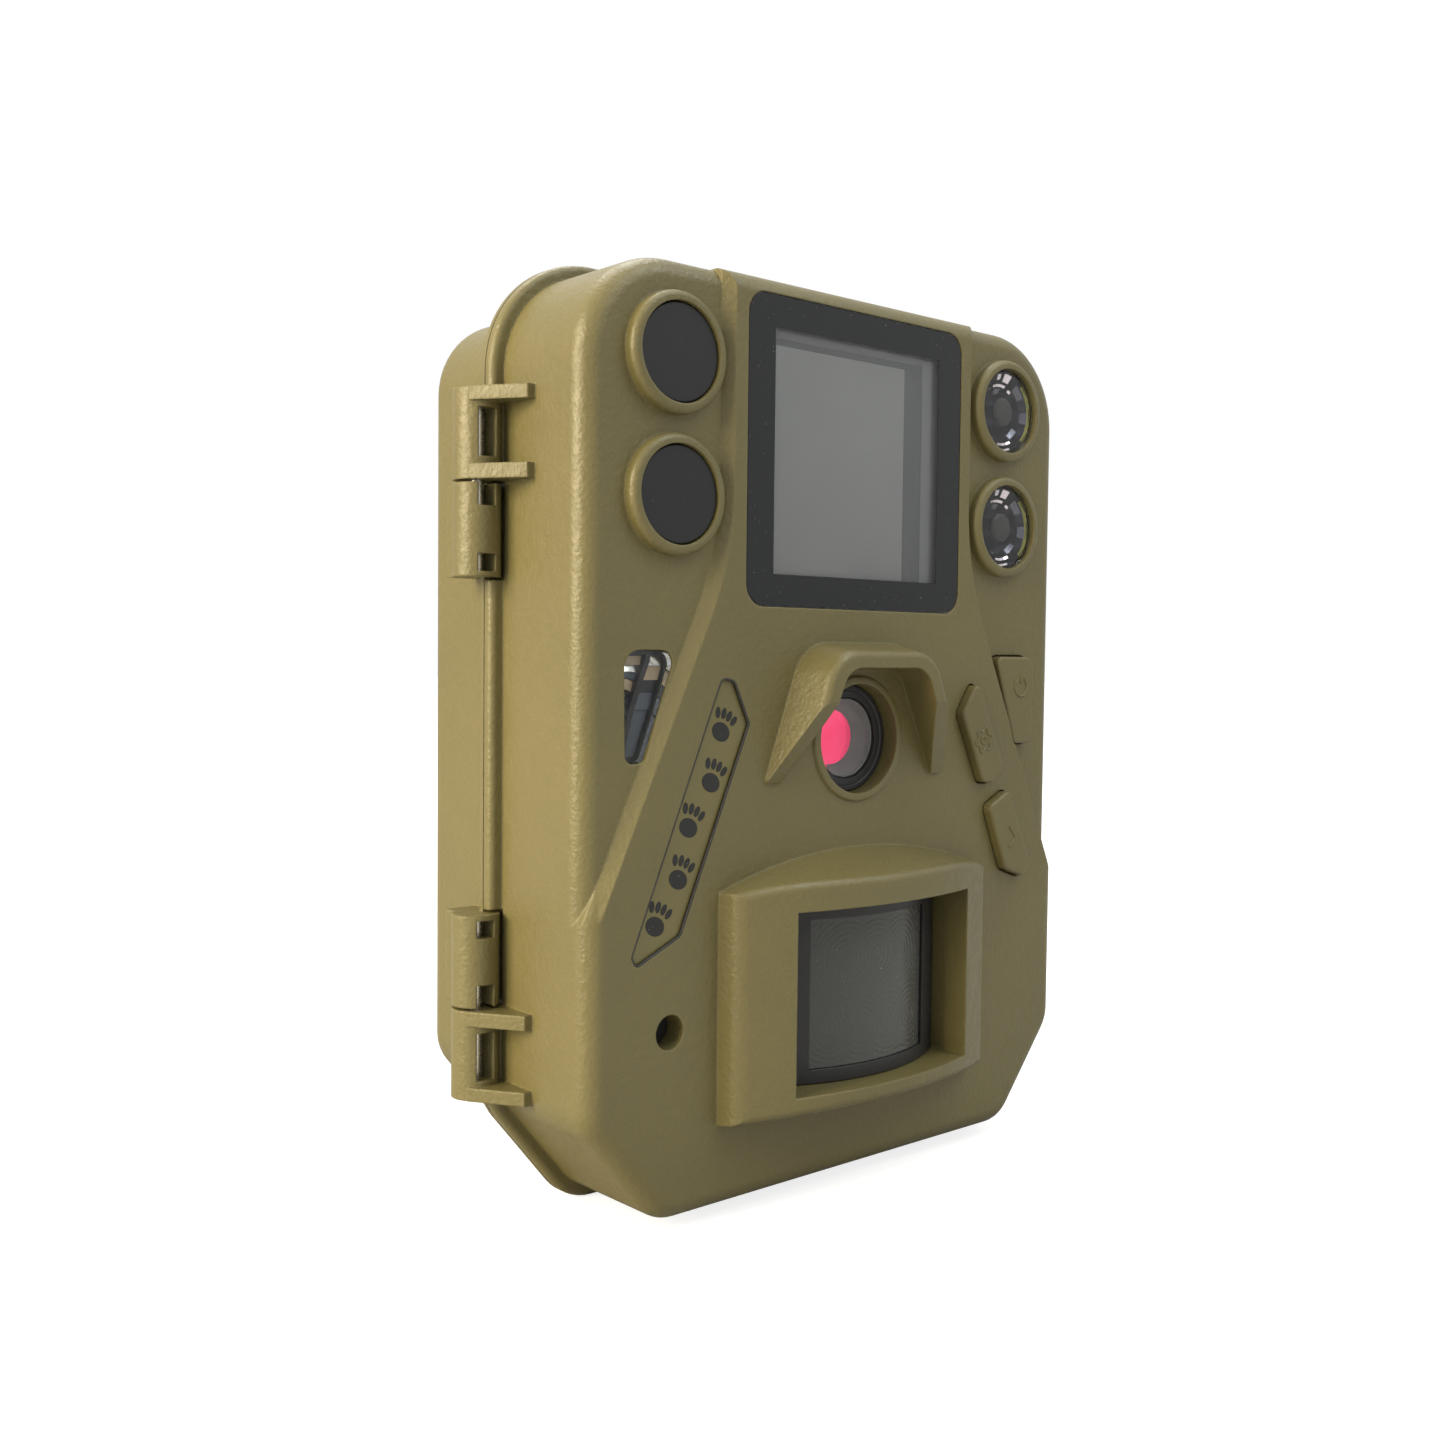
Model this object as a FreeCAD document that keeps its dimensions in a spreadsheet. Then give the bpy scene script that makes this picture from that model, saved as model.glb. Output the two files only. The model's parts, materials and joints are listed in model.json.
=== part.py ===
import FreeCAD, Part
import math
import os

import Sketcher
from FreeCAD import Rotation, Vector

# Compact trail camera: a front housing with all the electronics, hinged on a rear case that
# holds the cells. The front faces -Y, +Z is up, and the origin is the mouth of the tripod insert.

doc = FreeCAD.newDocument("trail_camera")

# ---------------------------------------------------------------- driving dimensions (mm)

DIMENSIONS = {
    "half_width": 36.85,
    "bottom_edge": 1.45,
    "top_edge": 98.67,
    "corner_radius": 11.0,
    "corner_cut_x": 9.5,
    "corner_cut_z": 11.5,
    "cut_blend": 5.0,
    "front_depth": 23.03,
    "column_recess": 1.2,
    "parting_depth": 6.86,
    "seam_gap": 0.08,
    "edge_round": 2.2,
    "wall": 2.0,
    "skin": 1.5,
    "flange_lip": 1.45,
    "flange_thickness": 1.16,
    "rear_half_width": 36.9,
    "rear_bottom": 5.0,
    "rear_top": 95.3,
    "rear_corner_radius": 8.5,
    "rear_cut_x": 8.5,
    "rear_cut_z": 10.5,
    "back_depth": 6.86,
    "back_round": 3.0,
    "hinge_x": 39.2,
    "hinge_centre": 49.6,
    "barrel_radius": 2.45,
    "barrel_clearance": 0.35,
    "pin_radius": 0.75,
    "pin_clearance": 0.05,
    "glass_half_width": 16.8,
    "glass_bottom": 64.3,
    "glass_top": 96.8,
    "glass_corner": 2.4,
    "glass_thickness": 1.0,
    "optic_x": 25.8,
    "optic_low": 75.05,
    "optic_high": 89.06,
    "rim_radius": 6.1,
    "rim_height": 1.42,
    "optic_radius": 5.0,
    "lens_x": 0.1,
    "lens_z": 50.0,
    "hood_depth": 4.75,
    "lip_radius": 7.0,
    "lip_height": 0.35,
    "bore_radius": 6.1,
    "bezel_radius": 50.0,
    "bezel_depth": 29.65,
    "pir_x": 0.3,
    "pir_half_width": 13.65,
    "pir_bottom": 13.0,
    "pir_top": 32.5,
    "pir_lens_radius": 24.0,
    "pir_lens_depth": 26.7,
    "cell_radius": 7.25,
    "cell_length": 50.5,
    "cell_pitch": 15.1,
    "cell_depth": 3.2,
    "cradle_low": 25.2,
    "cradle_high": 81.4,
    "board_front": 16.2,
    "board_back": 15.0,
    "cover_front": 12.4,
    "cover_back": 10.9,
    "button_gap": 0.2,
    "button_rise": 1.15,
    "insert_radius": 4.0,
    "thread_radius": 2.58,
    "insert_length": 8.0,
    "latch_x": 39.7,
    "latch_half_height": 4.7,
    "latch_centre": 52.0,
    "fit": 0.05,
}

sheet = doc.addObject("Spreadsheet::Sheet", "Sizes")
for row, (alias, number) in enumerate(DIMENSIONS.items(), start=1):
    sheet.set(f"A{row}", alias)
    sheet.set(f"B{row}", str(number))
    sheet.setAlias(f"B{row}", alias)
doc.recompute()


class Size:
    """A length that knows both its value and the spreadsheet expression that gives it."""

    def __init__(self, value, text):
        self.value = float(value)
        self.text = text

    @staticmethod
    def of(other):
        if isinstance(other, Size):
            return other
        return Size(other, f"{other:.6g}")

    def __add__(self, other):
        other = Size.of(other)
        return Size(self.value + other.value, f"({self.text} + {other.text})")

    def __sub__(self, other):
        other = Size.of(other)
        return Size(self.value - other.value, f"({self.text} - {other.text})")

    def __mul__(self, other):
        other = Size.of(other)
        return Size(self.value * other.value, f"({self.text} * {other.text})")

    def __radd__(self, other):
        return Size.of(other) + self

    def __rsub__(self, other):
        return Size.of(other) - self

    def __rmul__(self, other):
        return Size.of(other) * self

    def __neg__(self):
        return Size(-self.value, f"(0 - {self.text})")


SIZES = {alias: Size(number, f"Sizes.{alias}") for alias, number in DIMENSIONS.items()}


def size(alias):
    return SIZES[alias]


# Planes that many pieces share, as Y positions.
FACE = -size("front_depth")
COLUMN = FACE + size("column_recess")
CAVITY = COLUMN + size("skin")
PARTING = -size("parting_depth")
FRONT_RIM = PARTING - size("seam_gap")
REAR_RIM = PARTING + size("seam_gap")
BACK = size("back_depth")
HINGE_X = -size("hinge_x")

# ---------------------------------------------------------------- modelling helpers


def bind(obj, path, length):
    length = Size.of(length)
    obj.setExpression(path, length.text)


def place(obj, x, y, z, rotation=Rotation()):
    x, y, z = Size.of(x), Size.of(y), Size.of(z)
    obj.Placement = FreeCAD.Placement(Vector(x.value, y.value, z.value), rotation)
    bind(obj, "Placement.Base.x", x)
    bind(obj, "Placement.Base.y", y)
    bind(obj, "Placement.Base.z", z)
    return obj


def box(name, x_span, y_span, z_span):
    """A block between two X, two Y and two Z positions."""
    spans = [(Size.of(low), Size.of(high)) for low, high in (x_span, y_span, z_span)]
    obj = doc.addObject("Part::Box", name)
    for side, (low, high) in zip(("Length", "Width", "Height"), spans):
        bind(obj, side, high - low)
    place(obj, *[low for low, high in spans])
    doc.recompute()
    return obj


ROTATIONS = {
    "Z": Rotation(),
    "-Z": Rotation(Vector(1, 0, 0), 180),
    "Y": Rotation(Vector(1, 0, 0), -90),
    "-Y": Rotation(Vector(1, 0, 0), 90),
    "X": Rotation(Vector(0, 1, 0), 90),
}


def rod(name, radius, length, x, y, z, along="Z"):
    """A cylinder that starts at x, y, z and runs along one axis."""
    obj = doc.addObject("Part::Cylinder", name)
    bind(obj, "Radius", radius)
    bind(obj, "Height", length)
    place(obj, x, y, z, ROTATIONS[along])
    doc.recompute()
    return obj


def cut(name, base, tools):
    """Takes every tool away from base in one step."""
    tool = tools[0] if len(tools) == 1 else fuse(f"{name}_tools", tools)
    obj = doc.addObject("Part::Cut", name)
    obj.Base = base
    obj.Tool = tool
    doc.recompute()
    return obj


def fuse(name, shapes):
    obj = doc.addObject("Part::MultiFuse", name)
    obj.Shapes = shapes
    obj.Refine = True
    doc.recompute()
    return obj


def common(name, first, second):
    obj = doc.addObject("Part::Common", name)
    obj.Base = first
    obj.Tool = second
    doc.recompute()
    return obj


def group(name, shapes):
    """Several separate solids that share one node."""
    obj = doc.addObject("Part::Compound", name)
    obj.Links = shapes
    doc.recompute()
    return obj


def fillet(name, base, wanted, radius):
    """Rounds every edge of base that wanted(edge) picks. radius is a size or a function of the edge."""
    doc.recompute()
    picked = []
    for number, edge in enumerate(base.Shape.Edges, start=1):
        if wanted(edge):
            amount = Size.of(radius(edge) if callable(radius) else radius).value
            picked.append((number, amount, amount))
    if not picked:
        raise ValueError(f"{name}: no edge to round")
    obj = doc.addObject("Part::Fillet", name)
    obj.Base = base
    obj.Edges = picked
    doc.recompute()
    return obj


def lies_at(axis, length, slack=1e-4):
    """An edge whose every point has the same coordinate along axis (0, 1 or 2)."""
    target = Size.of(length).value

    def test(edge):
        bounds = edge.BoundBox
        low = (bounds.XMin, bounds.YMin, bounds.ZMin)[axis]
        high = (bounds.XMax, bounds.YMax, bounds.ZMax)[axis]
        return abs(low - target) < slack and abs(high - target) < slack

    return test


def flat_line(start, end):
    """A line in a sketch's own plane between two pairs of sizes."""
    first, second = (Vector(across.value, up.value, 0) for across, up in (start, end))
    return Part.LineSegment(first, second)


def polygon_sketch(name, points, plane):
    """A closed outline. Every corner is held by two dimensions bound to the sheet."""
    sketch = doc.addObject("Sketcher::SketchObject", name)
    count = len(points)
    points = [(Size.of(across), Size.of(up)) for across, up in points]
    for index in range(count):
        start = points[index]
        end = points[(index + 1) % count]
        sketch.addGeometry(flat_line(start, end), False)
    hold_corners(sketch, points)
    if plane == "XZ":
        sketch.Placement = FreeCAD.Placement(Vector(), ROTATIONS["-Y"])
    return sketch


def hold_corners(sketch, points):
    count = len(points)
    for index in range(count):
        sketch.addConstraint(Sketcher.Constraint("Coincident", index, 2, (index + 1) % count, 1))
    for index, (across, up) in enumerate(points):
        for kind, length in (("DistanceX", across), ("DistanceY", up)):
            label = f"{kind}_{index}"
            number = sketch.addConstraint(Sketcher.Constraint(kind, -1, 1, index, 1, length.value))
            sketch.renameConstraint(number, label)
            if "Sizes." in length.text:
                sketch.setExpression(f"Constraints.{label}", length.text)


def prism(name, corners, low, high, plane="XZ"):
    """Extrudes an outline from low to high. A corner is (across, up) or (across, up, radius)."""
    low, high = Size.of(low), Size.of(high)
    points = [(Size.of(corner[0]), Size.of(corner[1])) for corner in corners]
    sketch = polygon_sketch(f"{name}_outline", points, plane)
    along = 1 if plane == "XZ" else 2
    direction = Vector(0, 1, 0) if plane == "XZ" else Vector(0, 0, 1)
    bind(sketch, f"Placement.Base.{'xyz'[along]}", low)
    solid = doc.addObject("Part::Extrusion", f"{name}_pad")
    solid.Base = sketch
    solid.DirMode = "Custom"
    solid.Dir = direction
    bind(solid, "LengthFwd", high - low)
    solid.Solid = True
    doc.recompute()
    rounds = {}
    for corner, (across, up) in zip(corners, points):
        if len(corner) == 3 and Size.of(corner[2]).value > 0:
            rounds[(round(across.value, 3), round(up.value, 3))] = corner[2]
    if not rounds:
        return solid

    def corner_of(edge):
        ends = [vertex.Point for vertex in edge.Vertexes]
        if len(ends) != 2 or abs(ends[0][along] - ends[1][along]) < 1e-3:
            return None
        second = 2 if plane == "XZ" else 1
        return (round(ends[0][0], 3), round(ends[0][second], 3))

    return fillet(name, solid, lambda edge: corner_of(edge) in rounds, lambda edge: rounds[corner_of(edge)])


def rectangle(x_span, z_span, radius=0):
    """Corners of an upright rectangle, all four rounded alike."""
    (left, right), (low, high) = x_span, z_span
    return [(left, low, radius), (right, low, radius), (right, high, radius), (left, high, radius)]


def symmetric(half):
    """The span from -half to half."""
    return (-half, half)


def turned(name, profile, x, y, z, along="Z"):
    """A PartDesign body: a closed (radius, height) profile turned about its own axis."""
    body = doc.addObject("PartDesign::Body", name)
    upright = next(f for f in body.Origin.OriginFeatures if f.Role == "XZ_Plane")
    sketch = body.newObject("Sketcher::SketchObject", f"{name}_profile")
    sketch.AttachmentSupport = (upright, [""])
    sketch.MapMode = "FlatFace"
    points = [(Size.of(radius), Size.of(height)) for radius, height in profile]
    for index, start in enumerate(points):
        end = points[(index + 1) % len(points)]
        sketch.addGeometry(flat_line(start, end), False)
    hold_corners(sketch, points)
    turn = body.newObject("PartDesign::Revolution", f"{name}_turn")
    turn.Profile = sketch
    turn.ReferenceAxis = (sketch, ["V_Axis"])
    turn.Angle = 360
    place(body, x, y, z, ROTATIONS[along])
    doc.recompute()
    return body


def disc_profile(radius, thickness, edge=0.2):
    """A flat disc with a small chamfer round its outer face."""
    shoulder = Size.of(thickness) - edge
    return [(0, 0), (radius, 0), (radius, shoulder), (Size.of(radius) - edge, thickness), (0, thickness)]


def wire_feature(name, y, corners):
    """A closed wire in the plane Y = y. A corner is (x, z, radius), rounded by a tangent arc."""
    y = Size.of(y).value
    points = [Vector(Size.of(x).value, y, Size.of(z).value) for x, z, radius in corners]
    radii = [Size.of(radius).value for x, z, radius in corners]
    count = len(points)
    trimmed = []
    for index, point in enumerate(points):
        before = (points[index - 1] - point).normalize()
        after = (points[(index + 1) % count] - point).normalize()
        half = before.getAngle(after) / 2
        if radii[index] <= 0:
            trimmed.append((point, None, point))
            continue
        reach = radii[index] / math.tan(half)
        bisector = (before + after).normalize()
        middle = point + bisector * (radii[index] / math.sin(half) - radii[index])
        trimmed.append((point + before * reach, middle, point + after * reach))
    edges = []
    for index, (start, middle, end) in enumerate(trimmed):
        if middle is not None:
            edges.append(Part.Arc(start, middle, end).toShape())
        following = trimmed[(index + 1) % count][0]
        edges.append(Part.LineSegment(end, following).toShape())
    feature = doc.addObject("Part::Feature", name)
    feature.Shape = Part.Wire(edges)
    return feature


def loft(name, wires):
    obj = doc.addObject("Part::Loft", name)
    obj.Sections = wires
    obj.Solid = True
    obj.Ruled = True
    doc.recompute()
    return obj


NODES = []


def node(name, obj):
    """Names a finished sub-part. Its label is its file's name."""
    obj.Label = name
    NODES.append((name, obj))
    return obj


# ---------------------------------------------------------------- outlines


def housing_outline(grow):
    """The front housing's outline, grown or shrunk: large top corners, cut and blended bottom ones."""
    grow = Size.of(grow)
    half = size("half_width") + grow
    low = size("bottom_edge") - grow
    high = size("top_edge") + grow
    cut_growth = 0.056
    cut_x = size("corner_cut_x") * (1 + cut_growth * grow)
    cut_z = size("corner_cut_z") * (1 + cut_growth * grow)
    top_radius = size("corner_radius") + grow
    blend = size("cut_blend") + grow
    return [
        (-half, low + cut_z, blend),
        (-half + cut_x, low, blend),
        (half - cut_x, low, blend),
        (half, low + cut_z, blend),
        (half, high, top_radius),
        (-half, high, top_radius),
    ]


def rear_outline(grow):
    """The rear case's outline, which is shorter than the front housing's."""
    grow = Size.of(grow)
    half = size("rear_half_width") + grow
    low = size("rear_bottom") - grow
    high = size("rear_top") + grow
    top_radius = size("rear_corner_radius") + grow
    blend = size("cut_blend") + grow
    return [
        (-half, low + size("rear_cut_z"), blend),
        (-half + size("rear_cut_x"), low, blend),
        (half - size("rear_cut_x"), low, blend),
        (half, low + size("rear_cut_z"), blend),
        (half, high, top_radius),
        (-half, high, top_radius),
    ]


def mirrored(corners):
    """The same outline on the other side of X = 0."""
    return [(-Size.of(corner[0]),) + tuple(corner[1:]) for corner in reversed(corners)]


PANEL_TOP = size("top_edge") + 6
PANEL_LOW = size("bottom_edge") - 8
PANEL_FOOT = [(-19.6, 70.0), (-38.8, 28.2)]
PANEL_CREST = [(-18.5, 69.5), (-38.8, 25.4)]
PANEL_BEND = 34.0


def panel_outline(line):
    """The raised centre panel: it runs down from the top between the columns, then flares to full width."""
    (neck_x, neck_z), (edge_x, edge_z) = line
    left = [(neck_x, PANEL_TOP, 0), (neck_x, neck_z, PANEL_BEND), (edge_x, edge_z, 0), (edge_x, PANEL_LOW, 0)]
    return left + mirrored(left)


BADGE = [
    (-20.0, 56.9, 0.9),
    (-18.2, 56.5, 0.9),
    (-16.1, 52.0, 0.5),
    (-25.2, 30.7, 1.2),
    (-30.9, 28.1, 0.6),
    (-31.5, 29.3, 0.6),
]
TEARDROP = [(-31.7, 59.5, 1.9), (-25.0, 59.5, 1.3), (-29.3, 48.3, 1.0), (-31.5, 48.3, 0.9)]
BUTTONS = {
    "power": [(24.4, 59.3, 0.8), (31.7, 59.3, 1.6), (31.5, 48.6, 0.8), (28.0, 48.6, 0.7)],
    "menu": [(19.6, 56.5, 0.7), (16.8, 52.5, 0.8), (20.8, 44.2, 0.8), (22.6, 44.1, 0.8), (24.6, 45.9, 0.7)],
    "next": [(25.9, 43.1, 0.8), (22.0, 41.2, 0.8), (25.3, 33.4, 0.9), (28.8, 32.2, 0.7), (30.2, 33.7, 0.7)],
}
BUTTON_PLANES = {"power": COLUMN, "menu": FACE, "next": FACE}
SWITCH_PLACES = {"power": (29.2, 54.0), "menu": (20.9, 50.2), "next": (26.3, 37.6)}


def shifted_outline(corners, grow):
    """Moves each side of a convex outline outwards by grow, which may be negative."""
    count = len(corners)
    centre_x = sum(corner[0] for corner in corners) / count
    centre_z = sum(corner[1] for corner in corners) / count
    result = []
    for index, (x, z, radius) in enumerate(corners):
        normals = []
        for other in (corners[index - 1], corners[(index + 1) % count]):
            along_x, along_z = other[0] - x, other[1] - z
            length = math.hypot(along_x, along_z)
            normal_x, normal_z = along_z / length, -along_x / length
            outward = normal_x * (x - centre_x) + normal_z * (z - centre_z)
            sign = 1 if outward > 0 else -1
            normals.append((normal_x * sign, normal_z * sign))
        (a, b), (c, d) = normals
        determinant = a * d - b * c
        move_x = grow * (d - b) / determinant
        move_z = grow * (a - c) / determinant
        result.append((x + move_x, z + move_z, max(radius + grow, 0.3)))
    return result


# ---------------------------------------------------------------- front housing: outer shell


def moulded_block(name, outline, front, back, radius):
    """An extruded outline whose front rim is rounded."""
    block = prism(name, outline, front, back)
    return fillet(f"{name}_rounded", block, lies_at(1, front), radius)


def front_blank():
    low = moulded_block("column_block", housing_outline(0), COLUMN, FRONT_RIM, size("edge_round"))
    high = moulded_block("panel_block", housing_outline(0), FACE, FRONT_RIM, size("edge_round"))
    slope = loft(
        "panel_slope",
        [
            wire_feature("panel_foot", COLUMN, panel_outline(PANEL_FOOT)),
            wire_feature("panel_crest", FACE, panel_outline(PANEL_CREST)),
        ],
    )
    foot_wire = wire_feature("panel_base_wire", COLUMN, panel_outline(PANEL_FOOT))
    base = doc.addObject("Part::Extrusion", "panel_base")
    base.Base = foot_wire
    base.DirMode = "Custom"
    base.Dir = Vector(0, 1, 0)
    base.Solid = True
    bind(base, "LengthFwd", 8)
    envelope = fuse("panel_envelope", [slope, base])
    raised = common("raised_panel", high, envelope)
    flange_front = FRONT_RIM - size("flange_thickness")
    flange = prism("front_flange", housing_outline(size("flange_lip")), flange_front, FRONT_RIM)
    flange = fillet("front_flange_rounded", flange, lies_at(1, flange_front), 0.7)
    return [low, raised, flange]


def optic_rims():
    rims = []
    for side in (-1, 1):
        for level in ("optic_low", "optic_high"):
            name = f"rim_{'left' if side < 0 else 'right'}_{level}"
            front = COLUMN - size("rim_height")
            x, z = side * size("optic_x"), size(level)
            rim = rod(name, size("rim_radius"), CAVITY - front, x, front, z, "Y")
            rims.append(fillet(f"{name}_rounded", rim, lies_at(1, front), 0.7))
    return rims


def lens_hood():
    """An eyebrow over the lens. Its front slants back, so that the two legs die into the face."""
    front = FACE - size("hood_depth")
    root = wire_feature("hood_root", FACE + 0.6, hood_outline(-14.2, -8.7, 60.7, 5.2))
    tip = wire_feature("hood_tip", front, hood_outline(-12.9, -7.6, 59.7, 4.4))
    block = loft("hood_block", [root, tip])
    inner_root = wire_feature("hood_inner_root", FACE + 1, hood_outline(-12.9, -6.6, 57.6, 3.4, 44.0))
    inner_tip = wire_feature("hood_inner_tip", front - 1, hood_outline(-11.6, -6.1, 58.0, 3.0, 44.0))
    hollow = loft("hood_hollow", [inner_root, inner_tip])
    knee, toe = 54.2, 45.0
    lean = math.atan2(size("hood_depth").value, knee - toe)
    depth, reach = 10, 30
    slab = doc.addObject("Part::Box", "hood_slant")
    bind(slab, "Length", 40)
    bind(slab, "Width", depth)
    bind(slab, "Height", reach)
    back = front - depth * math.cos(lean) + reach * math.sin(lean)
    low = knee - depth * math.sin(lean) - reach * math.cos(lean)
    place(slab, -20, back, low, Rotation(Vector(1, 0, 0), math.degrees(lean)))
    doc.recompute()
    arch = cut("hood_arch", block, [hollow])
    sharp = cut("hood_sharp", arch, [slab])

    def outer_rim(edge):
        middle = edge.valueAt((edge.FirstParameter + edge.LastParameter) / 2)
        on_front = abs(middle.y - Size.of(front).value) < 0.01
        return on_front and edge.BoundBox.ZMax > 59.0

    return fillet("hood", sharp, outer_rim, 0.9)


def hood_outline(leg_x, shoulder_x, crown, radius, low=45.6):
    """A trapezoid that is symmetrical about the lens, with rounded shoulders."""
    axis = size("lens_x").value
    right = 2 * axis
    toe = 0.4
    return [
        (leg_x, low, toe),
        (shoulder_x, crown, radius),
        (right - shoulder_x, crown, radius),
        (right - leg_x, low, toe),
    ]


def pir_bezel():
    """The bulged surround of the motion sensor, with an arched top that fades to a straight front edge."""
    root = FACE + 0.5
    tip = FACE - 7.5
    profiles = []
    for name, y, half, low, shoulder, crown in (
        ("root", root, 20.3, 10.3, 34.6, 38.2),
        ("tip", tip, 18.5, 11.3, 34.9, 35.1),
    ):
        depth = Size.of(y).value
        corners = [
            Vector(-half, depth, shoulder),
            Vector(-half, depth, low),
            Vector(half, depth, low),
            Vector(half, depth, shoulder),
        ]
        edges = [Part.LineSegment(corners[i], corners[i + 1]).toShape() for i in range(3)]
        edges.append(Part.Arc(corners[3], Vector(0, depth, crown), corners[0]).toShape())
        feature = doc.addObject("Part::Feature", f"bezel_{name}")
        feature.Shape = Part.Wire(edges)
        profiles.append(feature)
    block = loft("bezel_block", profiles)
    bulge = rod("bezel_bulge", size("bezel_radius"), 60, 0, -size("bezel_depth") + size("bezel_radius"), -5)
    solid = common("bezel_solid", block, bulge)

    def rounded_edge(edge):
        bounds = edge.BoundBox
        upright = bounds.ZLength > 15
        front = bounds.YMax < FACE.value - 1.5
        return (upright or front) and bounds.YMin < FACE.value - 1.5

    def edge_radius(edge):
        return 2.2 if edge.BoundBox.ZLength > 15 else 1.0

    return fillet("bezel_rounded", solid, rounded_edge, edge_radius)


def mirror_z(low, high, flip):
    """A Z span, or the same span mirrored about the hinges' middle."""
    if not flip:
        return Size.of(low), Size.of(high)
    return 2 * size("hinge_centre") - high, 2 * size("hinge_centre") - low


def hinge_tools(flip):
    """The two knuckles of one hinge as (front solids, front cuts, rear solids, rear cuts)."""
    tag = "lower" if flip else "upper"
    radius = size("barrel_radius")

    def span(low, high):
        return mirror_z(low, high, flip)

    def barrel(name, low, high, reach=0):
        start, end = span(low, high)
        return rod(f"{name}_{tag}", radius + reach, end - start, HINGE_X, PARTING, start)

    def bore(name, low, high):
        start, end = span(low, high)
        loose = size("pin_radius") + size("pin_clearance")
        return rod(f"{name}_{tag}", loose, end - start, HINGE_X, PARTING, start)

    def rib(name, low, high):
        outline = [
            (HINGE_X - 2.0, PARTING - 1.6),
            (-size("half_width") - 0.9, PARTING - 6.9),
            (-size("half_width") + 0.6, PARTING - 6.9),
            (-size("half_width") + 0.6, FRONT_RIM),
            (HINGE_X - 0.5, FRONT_RIM),
        ]
        return prism(f"{name}_{tag}", outline, *span(low, high), plane="XY")

    front_solids = [
        barrel("front_barrel", 76.5, 85.7),
        rib("rib_high", 84.3, 85.7),
        rib("rib_low", 76.5, 78.0),
    ]
    window_x = (HINGE_X - 1.15, -size("half_width") - size("flange_lip") - 0.1)
    front_cuts = [
        box(f"front_window_{tag}", window_x, (PARTING - 5, PARTING + 0.95), span(78.8, 83.7)),
        bore("front_bore", 76.0, 85.2),
        barrel("front_notch", 66.5, 76.5, size("barrel_clearance")),
    ]
    web_x = (HINGE_X - 1.2, -size("rear_half_width") + 0.8)
    rear_solids = [
        barrel("rear_barrel", 66.8, 76.2),
        box(f"rear_web_{tag}", web_x, (PARTING + 1.1, PARTING + 3.9), span(66.8, 76.2)),
    ]
    rear_cuts = [
        box(f"rear_window_end_{tag}", window_x, (PARTING - 5, PARTING + 0.95), span(73.9, 76.4)),
        box(f"rear_window_{tag}", window_x, (PARTING - 5, PARTING + 0.95), span(67.3, 69.1)),
        bore("rear_bore", 67.1, 76.4),
        barrel("rear_notch", 76.2, 86.1, size("barrel_clearance")),
    ]
    return front_solids, front_cuts, rear_solids, rear_cuts


HINGES = [hinge_tools(False), hinge_tools(True)]


SCREW_PLACES = [(-31.0, 88.5), (31.0, 88.5), (-31.0, 17.0), (31.0, 17.0)]


def screw_posts():
    overlap = 0.5
    length = -size("cover_front") - CAVITY + overlap
    return [
        rod(f"screw_post_{index}", 2.3, length, x, CAVITY - overlap, z, "Y")
        for index, (x, z) in enumerate(SCREW_PLACES)
    ]


def glass_outline(margin):
    """The display glass, seen from the front, enlarged by the margin."""
    half = size("glass_half_width") + margin
    height = (size("glass_bottom") - margin, size("glass_top") + margin)
    return rectangle(symmetric(half), height, size("glass_corner"))


def lens_lip():
    """A low rounded rim round the lens bore."""
    front = FACE - size("lip_height")
    lip = rod("lens_lip", size("lip_radius"), CAVITY - front, size("lens_x"), front, size("lens_z"), "Y")
    return fillet("lens_lip_rounded", lip, lies_at(1, front), 0.3)


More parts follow.
